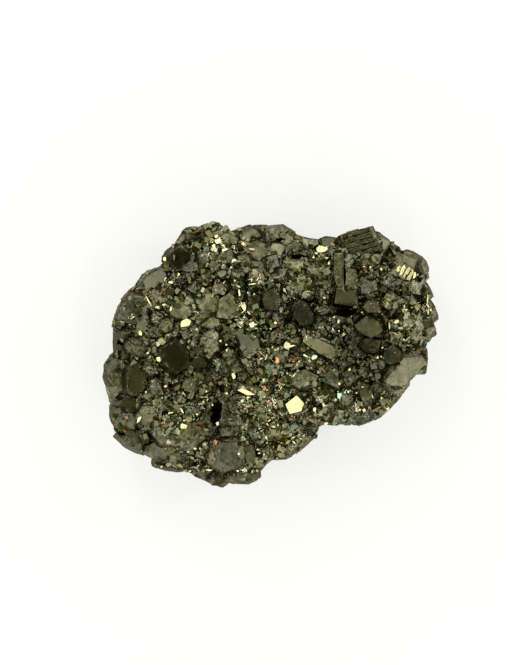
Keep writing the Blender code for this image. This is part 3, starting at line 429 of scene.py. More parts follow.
def name_facets(bm, rng, clean_area):
    """Gives each crystal face its colour, its growth direction, and whether it is clean."""
    facet = bm.faces.layers.float.new("facet")
    hue = bm.faces.layers.float.new("hue")
    fresh = bm.faces.layers.float.new("fresh")
    shade = bm.faces.layers.float.new("shade")
    dull = bm.faces.layers.float.new("dull")
    skin = bm.faces.layers.float.new("skin")
    across = bm.faces.layers.float_vector.new("across")
    clean = bm.faces.layers.float.new("clean")
    for face in bm.faces:
        name, paleness_and_shading, finish = tone_of(face) or ("any", rng.uniform(0.8, 1.2), "drusy")
        face[facet] = rng.random()
        face[hue], face[fresh] = HUES.get(name, (rng.random() * 0.84, 0.0))
        # A face's lightness is partly its own tone and partly painted light or shade.
        face[shade] = paleness_and_shading
        face[dull], face[skin] = FINISHES[finish]
        face[across] = growth_direction(face)
        face[clean] = 1.0 if is_clean(face, clean_area) else 0.0
    return clean


def wear_edges(bm, width):
    """Raises each crystal face a little inside its outline, so that the edges are worn."""
    roomy = []
    for face in bm.faces:
        perimeter = sum(edge.calc_length() for edge in face.edges)
        narrowest = min(loop.calc_angle() for loop in face.loops)
        if face.calc_area() > 1.6 * width * perimeter and narrowest > NARROWEST_CORNER:
            roomy.append(face)
    bmesh.ops.inset_individual(
        bm, faces=roomy, thickness=width, depth=width * 0.22, use_even_offset=True
    )


def crease_tree(bm, step=0.25 * MM):
    """Points all along the edges between crystal faces, to measure distances from."""
    points = []
    for edge in bm.edges:
        if len(edge.link_faces) == 2 and edge.calc_face_angle() > math.radians(12):
            count = max(2, math.ceil(edge.calc_length() / step))
            first, last = (vert.co for vert in edge.verts)
            points += [first.lerp(last, index / count) for index in range(count + 1)]
    tree = KDTree(len(points))
    for index, point in enumerate(points):
        tree.insert(point, index)
    tree.balance()
    return tree


def refine(bm, settings, clean):
    """Splits the mesh: finely where the top is rough, and coarsely elsewhere."""
    bmesh.ops.triangulate(bm, faces=bm.faces)
    for _round in range(7):
        long_edges = []
        for edge in bm.edges:
            on_top = (edge.verts[0].co.z + edge.verts[1].co.z) / 2 > TOP_BEGINS * MM
            smooth = all(face[clean] > 0.5 for face in edge.link_faces)
            limit = settings.coarse
            if on_top and smooth:
                limit = (settings.detail + settings.coarse) / 2
            elif on_top:
                limit = settings.detail * (1.7 - 0.7 * glitter_at(edge.verts[0].co))
            if edge.calc_length() > limit:
                long_edges.append(edge)
        if not long_edges:
            return
        bmesh.ops.subdivide_edges(bm, edges=long_edges, cuts=1)
        bmesh.ops.triangulate(bm, faces=[face for face in bm.faces if len(face.verts) > 3])


def roughness_at(vert, clean, skin, creases):
    """How rough the surface is at a point: 0 inside a clean face, 1 between faces and in glitter."""
    broad = noise.noise(vert.co / (4.0 * MM) + Vector((5.0, 1.0, 8.0)))
    if all(face[clean] > 0.5 for face in vert.link_faces):
        reach = 0.3 if all(face[skin] < 0.05 for face in vert.link_faces) else 1.0
        ragged = reach * (0.3 * MM + 0.9 * MM * noise.noise(vert.co / (1.3 * MM)))
        away = creases.find(vert.co)[2]
        if away > ragged:
            return 0.0
        return 0.6
    glitter = patch_density(vert.co.x / MM, vert.co.y / MM)
    rough = min(1.0, max(0.12, 0.45 + 0.9 * broad + 0.16 * glitter))
    return rough * (1 - 0.8 * calm_at(vert.co.x, vert.co.y))


def growth_relief(bm, settings, clean, creases):
    """Gives clean faces low growth waves, and breaks the rough parts up into small facets."""
    rng = random.Random(settings.seed)
    bm.normal_update()
    skin = bm.faces.layers.float["skin"]
    druse = bm.verts.layers.float.new("druse")
    moves = []
    for vert in bm.verts:
        rough = roughness_at(vert, clean, skin, creases)
        covered = max(rough, min(face[skin] for face in vert.link_faces))
        vert[druse] = covered * glitter_at(vert.co)
        if vert.co.z < 8 * MM:
            rough *= 0.35
        broad = noise.noise(vert.co / (2.6 * MM))
        fine = noise.noise(vert.co / (0.9 * MM) + Vector((7.0, 3.0, 1.0)))
        thrown = Vector((rng.uniform(-1, 1), rng.uniform(-1, 1), rng.uniform(-1, 1)))
        raised = vert.normal * settings.relief * (broad + 0.22 * fine)
        moves.append(raised + thrown * settings.crumble * rough)
    for vert, move in zip(bm.verts, moves):
        vert.co += move


def keep_in_box(mesh):
    """Moves points that stand out of the solid's box back onto it."""
    points = np.empty(len(mesh.vertices) * 3)
    mesh.vertices.foreach_get("co", points)
    points = np.clip(points.reshape(-1, 3), np.array(CAD_BOX[0]), np.array(CAD_BOX[1]))
    mesh.vertices.foreach_set("co", points.ravel())
    mesh.update()


SKY_RAYS = [
    Vector((math.sin(slope) * math.cos(turn), math.sin(slope) * math.sin(turn), math.cos(slope)))
    for slope, count in ((0.0, 1), (math.radians(32), 5), (math.radians(62), 7))
    for turn in (math.tau * index / count for index in range(count))
]


def openness(tree, point, normal):
    """Share of the directions out of a point that reach the open within a few millimetres."""
    start = point + normal * 0.05 * MM
    turn = Vector((0, 0, 1)).rotation_difference(normal)
    blocked = 0
    for ray in SKY_RAYS:
        if tree.ray_cast(start, turn @ ray, OPEN_REACH * MM)[0] is not None:
            blocked += 1
    return 1 - blocked / len(SKY_RAYS)


def grain_template(rng):
    """One crystal about its middle, one unit wide: a cube with other crystal faces cut on it."""
    bm = bmesh.new()
    bmesh.ops.create_cube(bm, size=1.0)
    cuts = []
    for a in (-1, 1):
        for b in (-1, 1):
            for normal in ((0, a, 2 * b), (a, 2 * b, 0), (2 * b, 0, a)):
                if rng.random() < 0.2:
                    cuts.append((normal, rng.uniform(0.46, 0.55)))
            for c in (-1, 1):
                if rng.random() < 0.2:
                    cuts.append(((a, b, c), rng.uniform(0.55, 0.74)))
    for normal, distance in cuts:
        normal = Vector(normal).normalized()
        geometry = bm.verts[:] + bm.edges[:] + bm.faces[:]
        cut = bmesh.ops.bisect_plane(
            bm, geom=geometry, dist=1e-5, plane_co=normal * distance, plane_no=normal, clear_outer=True
        )
        edges = [item for item in cut["geom_cut"] if isinstance(item, bmesh.types.BMEdge)]
        if edges:
            bmesh.ops.edgeloop_fill(bm, edges=edges)
    bmesh.ops.recalc_face_normals(bm, faces=bm.faces)
    number = bm.faces.layers.int.new("number")
    for index, face in enumerate(bm.faces):
        face[number] = index
    bmesh.ops.triangulate(bm, faces=bm.faces)
    bm.verts.index_update()
    points = np.array([vert.co for vert in bm.verts])
    triangles = np.array([[vert.index for vert in face.verts] for face in bm.faces])
    sides = np.array([face[number] for face in bm.faces])
    bm.free()
    return points, triangles, sides


def random_turns(rng, count):
    """Rotation matrices spread evenly over all directions."""
    q = rng.normal(size=(count, 4))
    q /= np.linalg.norm(q, axis=1)[:, None]
    w, x, y, z = q.T
    return np.stack([
        1 - 2 * (y * y + z * z), 2 * (x * y - z * w), 2 * (x * z + y * w),
        2 * (x * y + z * w), 1 - 2 * (x * x + z * z), 2 * (y * z - x * w),
        2 * (x * z - y * w), 2 * (y * z + x * w), 1 - 2 * (x * x + y * y),
    ], axis=1).reshape(count, 3, 3)


def grain_sizes(rng, count, smallest, largest, lean=1.0):
    """Grain widths: many small ones and few large ones."""
    share = rng.random(count) ** (1 + lean)
    return smallest * (largest / smallest) ** share


def flash_crystal(width, length, rng):
    """A block with a flat top at the origin, looking along +Z, and uneven sides."""
    bm = bmesh.new()
    bmesh.ops.create_cube(bm, size=1.0)
    bmesh.ops.transform(bm, matrix=Matrix.Translation((0, 0, -0.5)), verts=bm.verts)
    turn = rng.uniform(0, math.tau)
    for _cut in range(5):
        turn += rng.uniform(0.9, 1.7)
        normal = Vector((math.cos(turn), math.sin(turn), rng.uniform(-0.5, 0.08))).normalized()
        geometry = bm.verts[:] + bm.edges[:] + bm.faces[:]
        cut = bmesh.ops.bisect_plane(
            bm, geom=geometry, dist=1e-5, plane_co=normal * rng.uniform(0.3, 0.48), plane_no=normal,
            clear_outer=True,
        )
        edges = [item for item in cut["geom_cut"] if isinstance(item, bmesh.types.BMEdge)]
        if edges:
            bmesh.ops.edgeloop_fill(bm, edges=edges)
    for vert in bm.verts:
        if vert.co.z < -0.05:
            vert.co.xy *= 1 + 0.75 * vert.co.z
    depth = 0.6 * (width + length) + 0.3 * MM
    bmesh.ops.scale(bm, vec=(width, length, depth), verts=bm.verts)
    bmesh.ops.recalc_face_normals(bm, faces=bm.faces)
    return bm


def grow_grains(name, places, normals, sizes, open_shares, seed):
    """One joined mesh of crystals, one at each place, sunk partly into what they grow on."""
    rng = np.random.default_rng(seed)
    shapes = random.Random(seed)
    templates = [grain_template(shapes) for _shape in range(GRAIN_SHAPES)]
    count = len(places)
    kinds = rng.integers(0, len(templates), count)
    turns = random_turns(rng, count)
    stretch = rng.uniform((0.6, 0.75, 0.85), (0.95, 1.15, 1.35), (count, 3)) * sizes[:, None]
    stretch[:, 2] *= 1 + 0.5 * rng.random(count) * np.clip(2 - sizes / (0.5 * MM), 0, 1)
    middles = places + normals * (sizes * rng.uniform(-0.05, 0.32, count))[:, None]
    tints = rng.random(count)
    low = np.array(CAD_BOX[0]) + 0.02 * MM
    high = np.array(CAD_BOX[1]) - 0.02 * MM
    points, triangles, facets, glints, opens, patina_and_shading_values = [], [], [], [], [], []
    shades = np.array([patina_and_shading_at(place[0], place[1]) for place in places])
    offset = 0
    for kind, (shape, faces, sides) in enumerate(templates):
        chosen = np.flatnonzero(kinds == kind)
        local = shape[None] * stretch[chosen][:, None, :]
        world = np.einsum("kij,knj->kni", turns[chosen], local) + middles[chosen][:, None, :]
        under = np.maximum(low - world.min(axis=1), 0)
        over = np.maximum(world.max(axis=1) - high, 0)
        world += (under - over)[:, None, :]
        starts = offset + np.arange(len(chosen)) * len(shape)
        points.append(world.reshape(-1, 3))
        triangles.append((faces[None] + starts[:, None, None]).reshape(-1, 3))
        tones = rng.random((len(chosen), sides.max() + 1))
        facets.append(tones[:, sides].ravel())
        glints.append(np.repeat(tints[chosen], len(faces)))
        opens.append(np.repeat(open_shares[chosen], len(faces)))
        patina_and_shading_values.append(np.repeat(shades[chosen], len(faces)))
        offset += len(chosen) * len(shape)
    mesh = bpy.data.meshes.new(name)
    mesh.from_pydata(np.concatenate(points).tolist(), [], np.concatenate(triangles).tolist())
    for label, values in (("facet", facets), ("tint", glints), ("open", opens), ("patina_and_shading", patina_and_shading_values)):
        layer = mesh.attributes.new(label, "FLOAT", "FACE")
        layer.data.foreach_set("value", np.concatenate(values))
    obj = bpy.data.objects.new(name, mesh)
    bpy.context.scene.collection.objects.link(obj)
    return obj


def dress(obj, material):
    """Hands a finished piece to the frame."""
    obj.data.materials.clear()
    obj.data.materials.append(material)
    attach(obj, BODY)


# Finishes


def new_group(name, inputs, outputs):
    """A shader node group with named sockets, and its input and output nodes."""
    group = bpy.data.node_groups.new(name, "ShaderNodeTree")
    for label, kind, default in inputs:
        socket = group.interface.new_socket(name=label, in_out="INPUT", socket_type=kind)
        if default is not None:
            socket.default_value = default
    for label, kind in outputs:
        group.interface.new_socket(name=label, in_out="OUTPUT", socket_type=kind)
    entry = group.nodes.new("NodeGroupInput")
    leave = group.nodes.new("NodeGroupOutput")
    return group, entry, leave


def math_node(tree, operation, first, second=None, clamp=False):
    """A Math node, with each input either a socket or a number."""
    node = tree.nodes.new("ShaderNodeMath")
    node.operation = operation
    node.use_clamp = clamp
    for socket, value in zip(node.inputs, (first, second)):
        if isinstance(value, (int, float)):
            socket.default_value = value
        elif value is not None:
            tree.links.new(value, socket)
    return node.outputs[0]


def map_range(tree, value, low, high, to_low=0.0, to_high=1.0):
    node = tree.nodes.new("ShaderNodeMapRange")
    node.inputs["From Min"].default_value = low
    node.inputs["From Max"].default_value = high
    node.inputs["To Min"].default_value = to_low
    node.inputs["To Max"].default_value = to_high
    tree.links.new(value, node.inputs["Value"])
    return node.outputs["Result"]


def mix_colors(tree, share, first, second, blend="MIX"):
    node = tree.nodes.new("ShaderNodeMix")
    node.data_type = "RGBA"
    node.blend_type = blend
    for socket, value in ((node.inputs[0], share), (node.inputs[6], first), (node.inputs[7], second)):
        if isinstance(value, (int, float)):
            socket.default_value = value
        elif isinstance(value, tuple):
            socket.default_value = value
        else:
            tree.links.new(value, socket)
    return node.outputs[2]


def noise_node(tree, vector, scale, detail=3.0, roughness=0.5):
    node = tree.nodes.new("ShaderNodeTexNoise")
    node.inputs["Scale"].default_value = scale
    node.inputs["Detail"].default_value = detail
    node.inputs["Roughness"].default_value = roughness
    tree.links.new(vector, node.inputs["Vector"])
    return node.outputs["Fac"]


# Colours that the mineral dulls to: brown, tan, olive, grey-green, blue-grey, mauve and gold.
TARNISH_COLORS = [
    (0.0, (0.225, 0.190, 0.110)), (0.17, (0.265, 0.240, 0.165)), (0.34, (0.210, 0.205, 0.118)),
    (0.5, (0.195, 0.215, 0.140)), (0.67, (0.180, 0.210, 0.195)), (0.84, (0.235, 0.215, 0.175)),
    (1.0, (0.38, 0.32, 0.15)),
]


def set_stops(ramp, stops):
    """Gives a colour ramp its stops."""
    for element, (position, color) in zip(ramp.elements, (stops[0], stops[-1])):
        element.position, element.color = position, opaque(color)
    for position, color in stops[1:-1]:
        ramp.elements.new(position).color = opaque(color)


def tarnish_group():
    """Colour and dullness of pyrite: fresh brass, tarnish in clouds and face by face, painted shade in
    crevices.
    """
    group, entry, leave = new_group(
        "Pyrite tarnish",
        [
            ("Brass", "NodeSocketColor", None), ("Crevice shade", "NodeSocketColor", None),
            ("Facet", "NodeSocketFloat", 0.5), ("Hue", "NodeSocketFloat", 0.0),
            ("Fresh", "NodeSocketFloat", 0.0), ("Shade", "NodeSocketFloat", 1.0),
            ("Patina and shading", "NodeSocketFloat", 1.0), ("Dull", "NodeSocketFloat", 0.0),
            ("Mottle", "NodeSocketFloat", 4.4),
            ("Open", "NodeSocketFloat", 1.0),
            ("Steep", "NodeSocketFloat", 0.0), ("Amount", "NodeSocketFloat", 0.5),
            ("Dullness", "NodeSocketFloat", 0.2),
        ],
        [("Color", "NodeSocketColor"), ("Roughness", "NodeSocketFloat")],
    )
    place = group.nodes.new("ShaderNodeTexCoord").outputs["Object"]
    clouds = noise_node(group, place, 260.0, 4.0, 0.6)
    hues = map_range(group, noise_node(group, place, 420.0, 2.0, 0.5), 0.3, 0.7, -0.12, 0.12)
    specks = noise_node(group, place, 1900.0, 2.0, 0.5)
    blotches = noise_node(group, place, 620.0, 6.0, 0.74)
    rust = noise_node(group, place, 950.0, 3.0, 0.6)
    facet = entry.outputs["Facet"]
    ramp = group.nodes.new("ShaderNodeValToRGB")
    set_stops(ramp.color_ramp, TARNISH_COLORS)
    group.links.new(math_node(group, "ADD", entry.outputs["Hue"], hues, clamp=True), ramp.inputs["Fac"])
    tarnish = ramp.outputs["Color"]
    spread = math_node(group, "ADD", math_node(group, "MULTIPLY", facet, 0.55), clouds)
    share = math_node(group, "MULTIPLY", map_range(group, spread, 0.45, 1.05), entry.outputs["Amount"])
    # Painted shade on the steep sides: the steeper a face, the more it turns to tarnish and the darker
    # its colour.
    steep = map_range(group, entry.outputs["Steep"], 0.2, 0.6, 0.0, 0.8)
    steep_side_shade = map_range(group, entry.outputs["Steep"], 0.22, 0.7, 1.0, 0.56)
    share = math_node(group, "MAXIMUM", share, steep, clamp=True)
    kept = math_node(group, "SUBTRACT", 1.0, entry.outputs["Fresh"])
    share = math_node(group, "MULTIPLY", share, kept, clamp=True)
    color = mix_colors(group, share, entry.outputs["Brass"], tarnish)
    rusty = map_range(group, rust, 0.36, 0.64)
    cast = mix_colors(group, rusty, (0.91, 1.02, 0.97, 1), (1.10, 0.98, 0.98, 1))
    color = mix_colors(group, kept, color, mix_colors(group, 1.0, color, cast, "MULTIPLY"))
    uneven = map_range(group, entry.outputs["Dull"], 0.0, 0.2, 0.25, 1.0)
    strength = math_node(group, "MULTIPLY", kept, entry.outputs["Mottle"])
    uneven = math_node(group, "MULTIPLY", uneven, strength)
    patchy = math_node(group, "MULTIPLY", uneven, math_node(group, "SUBTRACT", blotches, 0.5))
    # Painted light and shade: the face's lightness, the darker steep sides and the patches scale the
    # colour.
    bright = math_node(group, "MULTIPLY", entry.outputs["Shade"], steep_side_shade)
    bright = math_node(group, "MULTIPLY", bright, entry.outputs["Patina and shading"])
    bright = math_node(group, "MULTIPLY", bright, math_node(group, "ADD", patchy, 1.0))
    scaled = group.nodes.new("ShaderNodeVectorMath")
    scaled.operation = "SCALE"
    group.links.new(color, scaled.inputs[0])
    group.links.new(bright, scaled.inputs["Scale"])
    color = scaled.outputs[0]
    # Painted shade: where little of the open reaches a place, the colour darkens in specks towards the
    # crevice shade colour.
    depth = map_range(group, entry.outputs["Open"], 0.48, 0.02)
    speckled = map_range(group, specks, 0.25, 0.6, 0.75, 1.0)
    dark = math_node(group, "MULTIPLY", depth, speckled, clamp=True)
    color = mix_colors(group, dark, color, entry.outputs["Crevice shade"])
    group.links.new(color, leave.inputs["Color"])
    dull = math_node(group, "ADD", entry.outputs["Dullness"], math_node(group, "MULTIPLY", share, 0.08))
    dull = math_node(group, "ADD", dull, entry.outputs["Dull"])
    dull = math_node(group, "ADD", dull, map_range(group, specks, 0.35, 0.75, 0.0, 0.06))
    dull = math_node(group, "ADD", dull, math_node(group, "MULTIPLY", depth, 0.25), clamp=True)
    group.links.new(dull, leave.inputs["Roughness"])
    return group


def growth_line_group():
    """Height of the fine growth lines of a crystal face, which run square to a given direction."""
    group, entry, leave = new_group(
        "Growth lines",
        [
            ("Across", "NodeSocketVector", None), ("Facet", "NodeSocketFloat", 0.5),
            ("Lines", "NodeSocketFloat", 1.0), ("Pits", "NodeSocketFloat", 1.0),
        ],
        [("Height", "NodeSocketFloat")],
    )
    place = group.nodes.new("ShaderNodeTexCoord").outputs["Object"]
    dot = group.nodes.new("ShaderNodeVectorMath")
    dot.operation = "DOT_PRODUCT"
    group.links.new(place, dot.inputs[0])
    group.links.new(entry.outputs["Across"], dot.inputs[1])
    line = group.nodes.new("ShaderNodeTexNoise")
    line.noise_dimensions = "1D"
    line.inputs["Scale"].default_value = 3600.0
    line.inputs["Detail"].default_value = 3.0
    group.links.new(dot.outputs["Value"], line.inputs["W"])
    lines = math_node(group, "MULTIPLY", line.outputs["Fac"], entry.outputs["Lines"])
    lined = map_range(group, entry.outputs["Facet"], 0.35, 0.95, 0.15, 1.0)
    lines = math_node(group, "MULTIPLY", lines, lined)
    pit = group.nodes.new("ShaderNodeTexVoronoi")
    pit.inputs["Scale"].default_value = 1500.0
    group.links.new(place, pit.inputs["Vector"])
    pits = map_range(group, pit.outputs["Distance"], 0.05, 0.32)
    pits = math_node(group, "MULTIPLY", pits, entry.outputs["Pits"])
    group.links.new(math_node(group, "ADD", lines, pits), leave.inputs["Height"])
    return group


def druse_group():
    """Relief and tint of a skin of tiny crystals, each of which leans its own way."""
    group, entry, leave = new_group(
        "Drusy skin",
        [
            ("Cover", "NodeSocketFloat", 1.0), ("Lean", "NodeSocketFloat", 0.5),
            ("Tint", "NodeSocketFloat", 0.4),
        ],
        [("Height", "NodeSocketFloat"), ("Color", "NodeSocketColor")],
    )
    place = group.nodes.new("ShaderNodeTexCoord").outputs["Object"]
    cells = group.nodes.new("ShaderNodeTexVoronoi")
    cells.inputs["Scale"].default_value = 2700.0
    group.links.new(place, cells.inputs["Vector"])
    offset = group.nodes.new("ShaderNodeVectorMath")
    offset.operation = "SUBTRACT"
    group.links.new(place, offset.inputs[0])
    group.links.new(cells.outputs["Position"], offset.inputs[1])
    lean = group.nodes.new("ShaderNodeVectorMath")
    lean.operation = "MULTIPLY_ADD"
    group.links.new(cells.outputs["Color"], lean.inputs[0])
    lean.inputs[1].default_value = (2.0, 2.0, 2.0)
    lean.inputs[2].default_value = (-1.0, -1.0, -1.0)
    rise = group.nodes.new("ShaderNodeVectorMath")
    rise.operation = "DOT_PRODUCT"
    group.links.new(offset.outputs[0], rise.inputs[0])
    group.links.new(lean.outputs[0], rise.inputs[1])
    patches = map_range(group, noise_node(group, place, 520.0, 3.0, 0.6), 0.34, 0.50)
    cover = math_node(group, "MULTIPLY", patches, entry.outputs["Cover"], clamp=True)
    height = math_node(group, "MULTIPLY", rise.outputs["Value"], entry.outputs["Lean"])
    group.links.new(math_node(group, "MULTIPLY", height, cover), leave.inputs["Height"])
    share = math_node(group, "MULTIPLY", cover, entry.outputs["Tint"], clamp=True)
    tint = group.nodes.new("ShaderNodeVectorMath")
    tint.operation = "SCALE"
    tint.inputs["Scale"].default_value = 1.95
    group.links.new(cells.outputs["Color"], tint.inputs[0])
    colored = mix_colors(group, share, (1.0, 1.0, 1.0, 1.0), tint.outputs[0])
    group.links.new(colored, leave.inputs["Color"])
    return group


def attribute(tree, name):
    node = tree.nodes.new("ShaderNodeAttribute")
    node.attribute_name = name
    return node


def opaque(color):
    return (color[0], color[1], color[2], 1.0)


# Tints of the grains: most are plain, and a few are golden, bluish, pink, greenish or red.
GRAIN_TINTS = [
    (0.0, (1.0, 1.0, 1.0)), (0.58, (1.0, 0.96, 0.70)), (0.78, (0.80, 0.98, 1.0)),
    (0.86, (1.0, 0.84, 0.76)), (0.925, (0.82, 1.0, 0.80)), (0.985, (1.0, 0.44, 0.32)),
]


def pyrite_material(name, groups, amount, dullness, lines, pits, bump, tints=False):
    """Metallic pyrite: the tarnish group for colour and roughness, the growth lines as bump."""
    finish = bpy.context.scene.pyrite_finish
    material = bpy.data.materials.new(name)
    material.use_nodes = True
    tree = material.node_tree
    shader = tree.nodes["Principled BSDF"]
    shader.inputs["Metallic"].default_value = 1.0
    shader.inputs["Specular Tint"].default_value = (0.42, 0.42, 0.38, 1.0)
    facet = attribute(tree, "facet").outputs["Fac"]
    tarnish = tree.nodes.new("ShaderNodeGroup")
    tarnish.node_tree = groups["tarnish"]
    tarnish.inputs["Brass"].default_value = opaque(finish.brass)
    tarnish.inputs["Crevice shade"].default_value = opaque(finish.crevice_shade)
    tarnish.inputs["Amount"].default_value = amount
    tarnish.inputs["Dullness"].default_value = dullness
    tree.links.new(facet, tarnish.inputs["Facet"])
    # The openness paints shade into the crevices, and the steepness paints shade onto the steep sides.
    tree.links.new(attribute(tree, "open").outputs["Fac"], tarnish.inputs["Open"])
    tree.links.new(attribute(tree, "steep").outputs["Fac"], tarnish.inputs["Steep"])
    tree.links.new(attribute(tree, "patina_and_shading").outputs["Fac"], tarnish.inputs["Patina and shading"])
    color = tarnish.outputs["Color"]
    normal = None
    if tints:
        tint = attribute(tree, "tint").outputs["Fac"]
        hue = math_node(tree, "FRACT", math_node(tree, "MULTIPLY", tint, 9.7))
        tree.links.new(hue, tarnish.inputs["Hue"])
        ramp = tree.nodes.new("ShaderNodeValToRGB")
        ramp.color_ramp.interpolation = "CONSTANT"
        set_stops(ramp.color_ramp, GRAIN_TINTS)
        tree.links.new(tint, ramp.inputs["Fac"])
        color = mix_colors(tree, 1.0, color, ramp.outputs["Color"], "MULTIPLY")
    else:
        for name, socket in (("hue", "Hue"), ("shade", "Shade"), ("dull", "Dull"), ("fresh", "Fresh")):
            tree.links.new(attribute(tree, name).outputs["Fac"], tarnish.inputs[socket])
        druse = tree.nodes.new("ShaderNodeGroup")
        druse.node_tree = groups["druse"]
        druse.inputs["Lean"].default_value = 0.8
        druse.inputs["Tint"].default_value = 0.24
        tree.links.new(attribute(tree, "druse").outputs["Fac"], druse.inputs["Cover"])
        color = mix_colors(tree, 1.0, color, druse.outputs["Color"], "MULTIPLY")
        skin = tree.nodes.new("ShaderNodeBump")
        skin.inputs["Distance"].default_value = 1.0
        skin.inputs["Strength"].default_value = 1.0
        tree.links.new(druse.outputs["Height"], skin.inputs["Height"])
        normal = skin.outputs["Normal"]
    tree.links.new(color, shader.inputs["Base Color"])
    tree.links.new(tarnish.outputs["Roughness"], shader.inputs["Roughness"])
    growth = tree.nodes.new("ShaderNodeGroup")
    growth.node_tree = groups["growth"]
    growth.inputs["Lines"].default_value = lines
    growth.inputs["Pits"].default_value = pits
    tree.links.new(facet, growth.inputs["Facet"])
    tree.links.new(attribute(tree, "across").outputs["Vector"], growth.inputs["Across"])
    relief = tree.nodes.new("ShaderNodeBump")
    relief.inputs["Distance"].default_value = bump
    relief.inputs["Strength"].default_value = 1.0
    tree.links.new(growth.outputs["Height"], relief.inputs["Height"])
    if normal is not None:
        tree.links.new(normal, relief.inputs["Normal"])
    tree.links.new(relief.outputs["Normal"], shader.inputs["Normal"])
    return material


def lit_paper(name, color, glow):
    """Matt white paper on a light table."""
    material = bpy.data.materials.new(name)
    material.use_nodes = True
    shader = material.node_tree.nodes["Principled BSDF"]
    shader.inputs["Base Color"].default_value = opaque(color)
    shader.inputs["Roughness"].default_value = 0.9
    shader.inputs["Specular IOR Level"].default_value = 0.0
    shader.inputs["Emission Color"].default_value = opaque(color)
    shader.inputs["Emission Strength"].default_value = glow
    return material


def shared_groups():
    """The shader node groups, built once."""
    if "Pyrite tarnish" not in bpy.data.node_groups:
        tarnish_group()
        growth_line_group()
        druse_group()
    return {
        "tarnish": bpy.data.node_groups["Pyrite tarnish"],
        "growth": bpy.data.node_groups["Growth lines"],
        "druse": bpy.data.node_groups["Drusy skin"],
    }


def grain_material():
    material = bpy.data.materials.get("pyrite_grains")
    if material is None:
        material = pyrite_material(
            "pyrite_grains", shared_groups(), amount=0.5, dullness=0.12, lines=0.0, pits=0.4,
            bump=0.02 * MM, tints=True,
        )
    return material


# Pieces


class PYRITE_OT_faces(bpy.types.Operator):
    """Grow the large crystal faces, with worn edges and growth relief"""

    bl_idname = "pyrite.faces"
    bl_label = "Crystal faces"

    def execute(self, context):
        settings = context.scene.pyrite_faces
        bm = facet_surface()
        tree = BVHTree.FromBMesh(bm)
        creases = crease_tree(bm)
        clean = name_facets(bm, random.Random(settings.seed), settings.clean)
        wear_edges(bm, settings.edge)
        refine(bm, settings, clean)
        growth_relief(bm, settings, clean, creases)
        bm.normal_update()
        shade = bm.verts.layers.float.new("open")
        steep = bm.verts.layers.float.new("steep")
        patina_and_shading = bm.verts.layers.float.new("patina_and_shading")
        # Openness and steepness, from which the tarnish group paints shade into crevices and onto steep
        # sides; patches that are partly tarnish and partly painted shade and light.
        for vert in bm.verts:
            vert[patina_and_shading] = patina_and_shading_at(vert.co.x, vert.co.y)
            vert[shade] = openness(tree, vert.co, vert.normal)
            vert[steep] = 1 - max(0.0, vert.normal.z)
        mesh = bpy.data.meshes.new("crystal_faces")
        bm.to_mesh(mesh)
        bm.free()
        keep_in_box(mesh)
        mesh.shade_smooth()
        mesh.set_sharp_from_angle(angle=math.radians(9))
        obj = bpy.data.objects.new("crystal_faces", mesh)
        context.scene.collection.objects.link(obj)
        dress(obj, pyrite_material(
            "pyrite_faces", shared_groups(), amount=0.8, dullness=0.13, lines=0.5, pits=0.06,
            bump=0.02 * MM,
        ))
        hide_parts(NODE)
        return {"FINISHED"}


def clean_flags(bm):
    """For each crystal face, 1 where it stays free of grains and 0 elsewhere."""
    limit = bpy.context.scene.pyrite_faces.clean
    return [1.0 if is_clean(face, limit) else 0.0 for face in bm.faces]


def inside_outline(tree, place, room=0.35 * MM):
    """Whether a grain at a place stays within the specimen's outline, seen from above."""
    outward = Vector((place[0], place[1], 0)).normalized() * room
    above = Vector((place[0], place[1], 0.1)) + outward
    return tree.ray_cast(above, Vector((0, 0, -1)))[0] is not None


def thin_out(tree, places, rng, leniency=1.0):
    """Which grains to keep: none that break the outline, and fewer on the calm stretches."""
    chances = rng.random(len(places))
    kept = [
        inside_outline(tree, place) and chance > calm_at(place[0], place[1]) ** leniency
        for place, chance in zip(places, chances)
    ]
    return np.flatnonzero(kept)


def rough_surface():
    """Triangles of the node with what the grains need to know about them."""
    bm = facet_surface()
    tree = BVHTree.FromBMesh(bm)
    keep_clear = clean_flags(bm)
    number = bm.faces.layers.int.new("number")
    for index, face in enumerate(bm.faces):
        face[number] = index
    valleys = []
    for edge in bm.edges:
        inward = len(edge.link_faces) == 2 and not edge.is_convex
        if inward and edge.calc_face_angle() > math.radians(14):
            normal = (edge.link_faces[0].normal + edge.link_faces[1].normal).normalized()
            valleys.append((edge.verts[0].co.copy(), edge.verts[1].co.copy(), normal))
    bmesh.ops.triangulate(bm, faces=bm.faces)
    corners = np.array([[vert.co for vert in face.verts] for face in bm.faces])
    normals = np.array([face.normal for face in bm.faces])
    clean = np.array([keep_clear[face[number]] for face in bm.faces])
    bm.free()
    return tree, valleys, corners, normals, clean


# How open each grain's place is; the tarnish group paints shade into the crevices from it.
def open_shares(tree, places, normals):
    return np.array([
        openness(tree, Vector(place), Vector(normal)) for place, normal in zip(places, normals)
    ])


def sample_triangles(corners, density, rng):
    """Random points on triangles, so many a square metre on each, and the triangle of each point."""
    sides = np.cross(corners[:, 1] - corners[:, 0], corners[:, 2] - corners[:, 0])
    areas = np.linalg.norm(sides, axis=1) / 2
    counts = rng.poisson(areas * density)
    owners = np.repeat(np.arange(len(corners)), counts)
    u, v = rng.random((2, len(owners)))
    flip = u + v > 1
    u[flip], v[flip] = 1 - u[flip], 1 - v[flip]
    chosen = corners[owners]
    points = chosen[:, 0] + u[:, None] * (chosen[:, 1] - chosen[:, 0])
    points += v[:, None] * (chosen[:, 2] - chosen[:, 0])
    return points, owners


